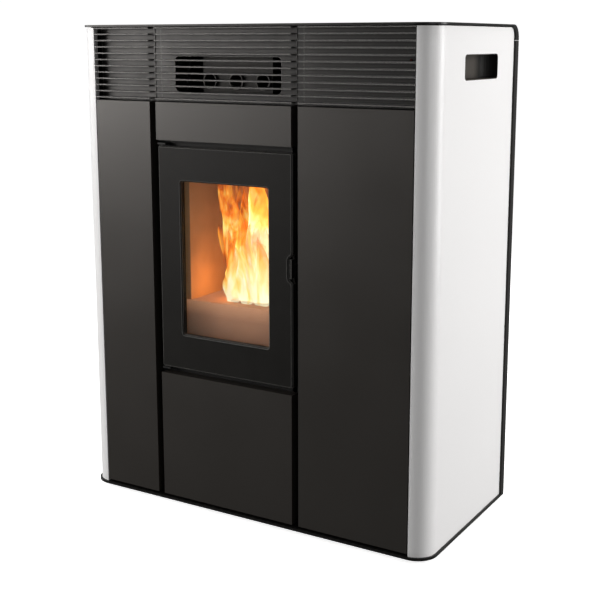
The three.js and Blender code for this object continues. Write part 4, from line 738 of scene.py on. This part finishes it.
def tongue(mesh, rise, base, width, depth, height, lean, phase, scale, room):
    """One tongue of flame: a closed, wavy, tapering body that stays within the room above it."""
    steps, around = 26, 16
    full = height * (0.5 + 0.5 * scale)
    reach = min(1.0, room / full)
    shares = [reach * i / steps for i in range(steps + 1)]
    rings = []
    for i, t in enumerate(shares):
        swell = flame_width(t)
        if reach < 1:
            # A flame that is cut short closes round its new tip.
            swell *= (1 - (i / steps) ** 5) ** 0.7
        swell = max(swell * scale, 0.004)
        cx = base[0] + lean * t ** 1.4 + 0.12 * width * math.sin(phase + 7 * t) * t
        cy = base[1] + 0.3 * depth * math.sin(phase * 1.7 + 5 * t) * t
        cz = base[2] + full * t
        ring = []
        for a in circle(around):
            ripple = 1 + 0.16 * math.sin(3 * a + phase + 9 * t) + 0.08 * math.sin(5 * a - 11 * t)
            ring.append((cx + width / 2 * swell * ripple * math.cos(a),
                         cy + depth / 2 * swell * ripple * math.sin(a), cz))
        rings.append(ring)
    for t, corners in zip(shares, skin(mesh, rings)):
        for corner in corners:
            corner[rise] = t


def flame_layer(name, tongues, scale, material, top):
    """Flames that clear the baffle even when the pot is lifted out of the deck."""
    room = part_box("baffle_plate")[0][2] - top - POT_LIFT - BAFFLE_GAP
    mesh = bmesh.new()
    rise = mesh.verts.layers.float.new("rise")
    for x, y, foot, *form in tongues:
        tongue(mesh, rise, (x, y, top + foot), *form, scale, room)
    obj = add_mesh(name, finished_mesh(name, mesh), material, "burn_pot")
    obj.visible_shadow = False
    obj.visible_diffuse = False


def make_fire():
    """Four layers of flame over the pot, and the light that they cast."""
    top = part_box("burn_pot")[1][2]
    orange = flame_material("flame_orange", hot=0.60, fall=0.94, gusts=2.6, scale=22,
                            strength=1.15, cover=0.55)
    flame_layer("flame_outer", TONGUES, 1.0, orange, top)
    yellow = flame_material("flame_yellow", hot=0.86, fall=1.30, gusts=2.2, scale=24,
                            strength=1.6, cover=0.62)
    flame_layer("flame_middle", TONGUES, 0.74, yellow, top)
    white = flame_material("flame_white", hot=1.25, fall=1.10, gusts=1.4, scale=22,
                           strength=1.9, cover=0.90)
    flame_layer("flame_core", HEARTS, 1.0, white, top)
    cream = flame_material("flame_cream", hot=0.92, fall=0.80, gusts=1.7, scale=26,
                           strength=1.25, cover=0.48)
    flame_layer("flame_spill", SPILLS, 1.0, cream, top)
    for name, x, y, height, radius, power, color in FIRE_LIGHTS:
        point_light(name, (x, y, top + height), radius, power, color)


# ------------------------------------------------------------ pellets
PELLETS = 230
PELLET_RADIUS = 3 * MM
PELLET_CHAMFER = 0.6 * MM
PELLET_SHORTEST, PELLET_LONGEST = 8 * MM, 17 * MM
HEAP_HALF_X, HEAP_HALF_Y = 40 * MM, 30 * MM
HEAP_HEIGHT = 36 * MM
GRATE_ABOVE_POT_FOOT = 6 * MM


def pellet(mesh, start, axis, length):
    """A short rod with chamfered ends."""
    profile = [(0.8 * PELLET_RADIUS, 0), (PELLET_RADIUS, PELLET_CHAMFER),
               (PELLET_RADIUS, length - PELLET_CHAMFER), (0.8 * PELLET_RADIUS, length)]
    turned(mesh, profile, start, axis, around=9)


def burning_pellets(materials):
    """Glowing pellets heaped in the burn pot, the highest in the middle."""
    rng = random.Random(7)
    low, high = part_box("burn_pot")
    cx, cy = (low[0] + high[0]) / 2, (low[1] + high[1]) / 2
    floor_z = low[2] + GRATE_ABOVE_POT_FOOT
    mesh = bmesh.new()
    for _ in range(PELLETS):
        x = cx + rng.uniform(-1, 1) * (HEAP_HALF_X - PELLET_RADIUS)
        y = cy + rng.uniform(-1, 1) * (HEAP_HALF_Y - PELLET_RADIUS)
        heap = 1 - 0.55 * max(abs(x - cx) / HEAP_HALF_X, abs(y - cy) / HEAP_HALF_Y) ** 2
        z = floor_z + rng.uniform(0.25, 1.0) ** 0.5 * HEAP_HEIGHT * heap
        length = rng.uniform(PELLET_SHORTEST, PELLET_LONGEST)
        axis = Vector((rng.uniform(-1, 1), rng.uniform(-1, 1), rng.uniform(-0.35, 0.35)))
        axis.normalize()
        start = Vector((x, y, z)) - axis * length / 2
        ends = (start, start + axis * length)
        if all(abs(e.x - cx) < HEAP_HALF_X and abs(e.y - cy) < HEAP_HALF_Y for e in ends):
            pellet(mesh, start, axis, length)
    mesh_object("burning_pellets", mesh, materials["ember"], "burn_pot")


# ------------------------------------------------------------ lips and beads of tubes
AIR_TUBE_PITCH = 70 * MM
AIR_TUBE_ABOVE_FOOT = 62 * MM
AIR_TUBE_LIP = 17.2 * MM
AIR_TUBE_BEAD = 0.9 * MM
PIPE_BEAD_SETBACK = 8 * MM
PIPE_BEADS = [
    # name, piece, its pipe's distance from the side and foot, radius, bead, finish, slot
    ("flue_bead", "smoke_fan_housing", 44 * MM, 40 * MM, 1.6 * MM, "cast", "cast_iron"),
    ("air_pipe_bead", "combustion_air_box", 28 * MM, 25 * MM, 1.1 * MM, "zinc", "galvanised"),
]


def tube_rims(materials):
    """The rolled bright lips of the warm air tubes, seen through the grille."""
    low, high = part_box("heat_exchanger")
    middle = (low[0] + high[0]) / 2
    mesh = bmesh.new()
    for step in (-1, 0, 1):
        centre = (middle + step * AIR_TUBE_PITCH, low[1], low[2] + AIR_TUBE_ABOVE_FOOT)
        bead(mesh, centre, AIR_TUBE_LIP, AIR_TUBE_BEAD, around=36, across=8)
    mesh_object("tube_rims", mesh, materials["rim"], "casing")


def pipe_beads(materials):
    """Rolled beads near the ends of the flue spigot and the air pipe."""
    for name, piece, inset, radius, thick, finish, slot in PIPE_BEADS:
        low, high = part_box(piece)
        centre = (high[0] - inset, high[1] - PIPE_BEAD_SETBACK, low[2] + inset)
        mesh = bmesh.new()
        bead(mesh, centre, radius + 0.35 * thick, thick, around=48, across=10)
        mesh_object(name, mesh, materials[finish], "casing")


# ------------------------------------------------------------ screws
REAR_SCREW_INSET = 16 * MM
REAR_SCREW_RADIUS, REAR_SCREW_HEIGHT = 3.6 * MM, 2.0 * MM
RETAINER_SCREW_INSET = 4.2 * MM
RETAINER_SCREW_RADIUS, RETAINER_SCREW_HEIGHT = 2.6 * MM, 1.6 * MM


def screw_head(mesh, centre, radius, height):
    """A domed head with a six-sided socket, which faces the rear."""
    profile = [(radius, 0), (radius, 0.3 * height), (0.86 * radius, 0.72 * height),
               (0.6 * radius, height), (0.5 * radius, height), (0.46 * radius, 0.35 * height)]
    turned(mesh, profile, centre, (0, 1, 0), around=18, six_sided=(4, 5))


def rear_screws(materials):
    """Twenty screws along the edges of the rear panel."""
    (x0, _, z0), (x1, rear, z1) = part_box("back_panel")
    inset = REAR_SCREW_INSET
    width, height = x1 - x0 - 2 * inset, z1 - z0 - 2 * inset
    places = [(side, z0 + inset + step * height / 5)
              for side in (x0 + inset, x1 - inset) for step in range(6)]
    places += [(x0 + inset + step * width / 5, z)
               for step in range(1, 5) for z in (z0 + inset, z1 - inset)]
    mesh = bmesh.new()
    for x, z in places:
        screw_head(mesh, (x, rear, z), REAR_SCREW_RADIUS, REAR_SCREW_HEIGHT)
    mesh_object("rear_screws", mesh, materials["steel"], "casing", False)


def retainer_screws(materials):
    """Ten small screws round the frame that holds the glass."""
    (x0, _, z0), (x1, rear, z1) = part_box("glass_retainer")
    inset = RETAINER_SCREW_INSET
    places = [(x, z0 + share * (z1 - z0))
              for x in (x0 + inset, x1 - inset) for share in (0.08, 0.36, 0.64, 0.92)]
    places += [((x0 + x1) / 2, z) for z in (z0 + inset, z1 - inset)]
    mesh = bmesh.new()
    for x, z in places:
        screw_head(mesh, (x, rear, z), RETAINER_SCREW_RADIUS, RETAINER_SCREW_HEIGHT)
    mesh_object("retainer_screws", mesh, materials["steel"], "door", False)


# ------------------------------------------------------------ door seal
ROPE_HALF_WIDTH = 4.5 * MM
ROPE_CORNER = 8 * MM
ROPE_STEP = 2.6 * MM
ROPE_TWISTS = 42
STRANDS = 3
STRAND_GROOVE = 0.09


def gasket_rope(materials):
    """The door seal: a soft rope of three strands laid in the door's groove."""
    low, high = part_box("door_gasket")
    half_depth = (high[1] - low[1]) / 2
    middle = Vector((0, (high[1] + low[1]) / 2, 0))
    path = rounded_path(low[0] + ROPE_HALF_WIDTH, high[0] - ROPE_HALF_WIDTH,
                        low[2] + ROPE_HALF_WIDTH, high[2] - ROPE_HALF_WIDTH,
                        ROPE_CORNER, ROPE_STEP)
    count = len(path)
    rings = []
    for i, point in enumerate(path):
        along = (path[(i + 1) % count] - path[i - 1]).normalized()
        side = along.cross(Vector((0, 1, 0)))
        twist = 2 * math.pi * ROPE_TWISTS * i / count
        ring = []
        for a in circle(5 * STRANDS):
            lay = 1 - STRAND_GROOVE * (1 - abs(math.cos(STRANDS / 2 * a + twist)))
            offset = side * (ROPE_HALF_WIDTH * lay * math.cos(a))
            offset += Vector((0, half_depth * lay * math.sin(a), 0))
            ring.append(point + offset + middle)
        rings.append(ring)
    mesh = bmesh.new()
    skin(mesh, rings, closed=True)
    rope = mesh_object("seal_rope", mesh, materials["rope"], "door")
    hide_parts("door_gasket")


# ------------------------------------------------------------ display and button signs
DISPLAY_HALF_WIDTH = 40 * MM
DISPLAY_FROM_REAR = 14 * MM
DISPLAY_DEPTH = 30 * MM
DISPLAY_CORNER = 4 * MM
DISPLAY_SUNK = 0.2 * MM
DISPLAY_RISE = 0.5 * MM
DISPLAY_EDGE = 0.3 * MM
SIGN_ARM = 3.2 * MM
SIGN_THIN = 0.5 * MM
SIGN_SUNK = 0.1 * MM
SIGN_RISE = 0.25 * MM
SIGN_EDGE = 0.1 * MM
STROKE_GAP = 0.01 * MM
RING_OUTER, RING_INNER = 3.1 * MM, 2.3 * MM


def display_window(materials):
    """A dark display window on the control panel."""
    (x0, _, _), (x1, rear, top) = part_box("control_panel")
    middle = (x0 + x1) / 2
    outline = rounded_outline(middle - DISPLAY_HALF_WIDTH, middle + DISPLAY_HALF_WIDTH,
                              rear - DISPLAY_FROM_REAR - DISPLAY_DEPTH, rear - DISPLAY_FROM_REAR,
                              DISPLAY_CORNER)
    mesh = bmesh.new()
    plate_shape(mesh, outline, top - DISPLAY_SUNK, top + DISPLAY_RISE, DISPLAY_EDGE)
    mesh_object("display_window", mesh, materials["display"], "casing")


def stroke(mesh, x0, x1, y0, y1, top):
    """One straight stroke of a sign."""
    plate_shape(mesh, [(x0, y0), (x1, y0), (x1, y1), (x0, y1)],
                top - SIGN_SUNK, top + SIGN_RISE, SIGN_EDGE)


def minus_sign(mesh, x, y, top):
    """A single level stroke."""
    stroke(mesh, x - SIGN_ARM, x + SIGN_ARM, y - SIGN_THIN, y + SIGN_THIN, top)


def ring_sign(mesh, x, y, top):
    """A flat ring."""
    profile = [(RING_OUTER, -SIGN_SUNK), (RING_OUTER, SIGN_RISE),
               (RING_INNER, SIGN_RISE), (RING_INNER, -SIGN_SUNK)]
    rings = [[(x + radius * math.cos(a), y + radius * math.sin(a), top + height)
              for a in circle(24)] for radius, height in profile]
    skin(mesh, rings, closed=True)


def plus_sign(mesh, x, y, top):
    """A minus, and an upright stroke on either side of it."""
    minus_sign(mesh, x, y, top)
    clear = SIGN_THIN + STROKE_GAP
    for start, end in ((-SIGN_ARM, -clear), (clear, SIGN_ARM)):
        stroke(mesh, x - SIGN_THIN, x + SIGN_THIN, y + start, y + end, top)


def button_signs(materials):
    """A raised sign on each button, which moves with it."""
    for number, sign in enumerate((minus_sign, ring_sign, plus_sign), 1):
        button = f"control_button_{number}"
        low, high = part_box(button)
        mesh = bmesh.new()
        sign(mesh, (low[0] + high[0]) / 2, (low[1] + high[1]) / 2, high[2])
        mesh_object(f"button_sign_{number}", mesh, materials["print"], button, False)


# ------------------------------------------------------------ build
make_camera()
make_studio()
finishes = make_materials()
dress(finishes)
make_fire()
rear_screws(finishes)
pipe_beads(finishes)
gasket_rope(finishes)
retainer_screws(finishes)
display_window(finishes)
button_signs(finishes)
burning_pellets(finishes)
tube_rims(finishes)
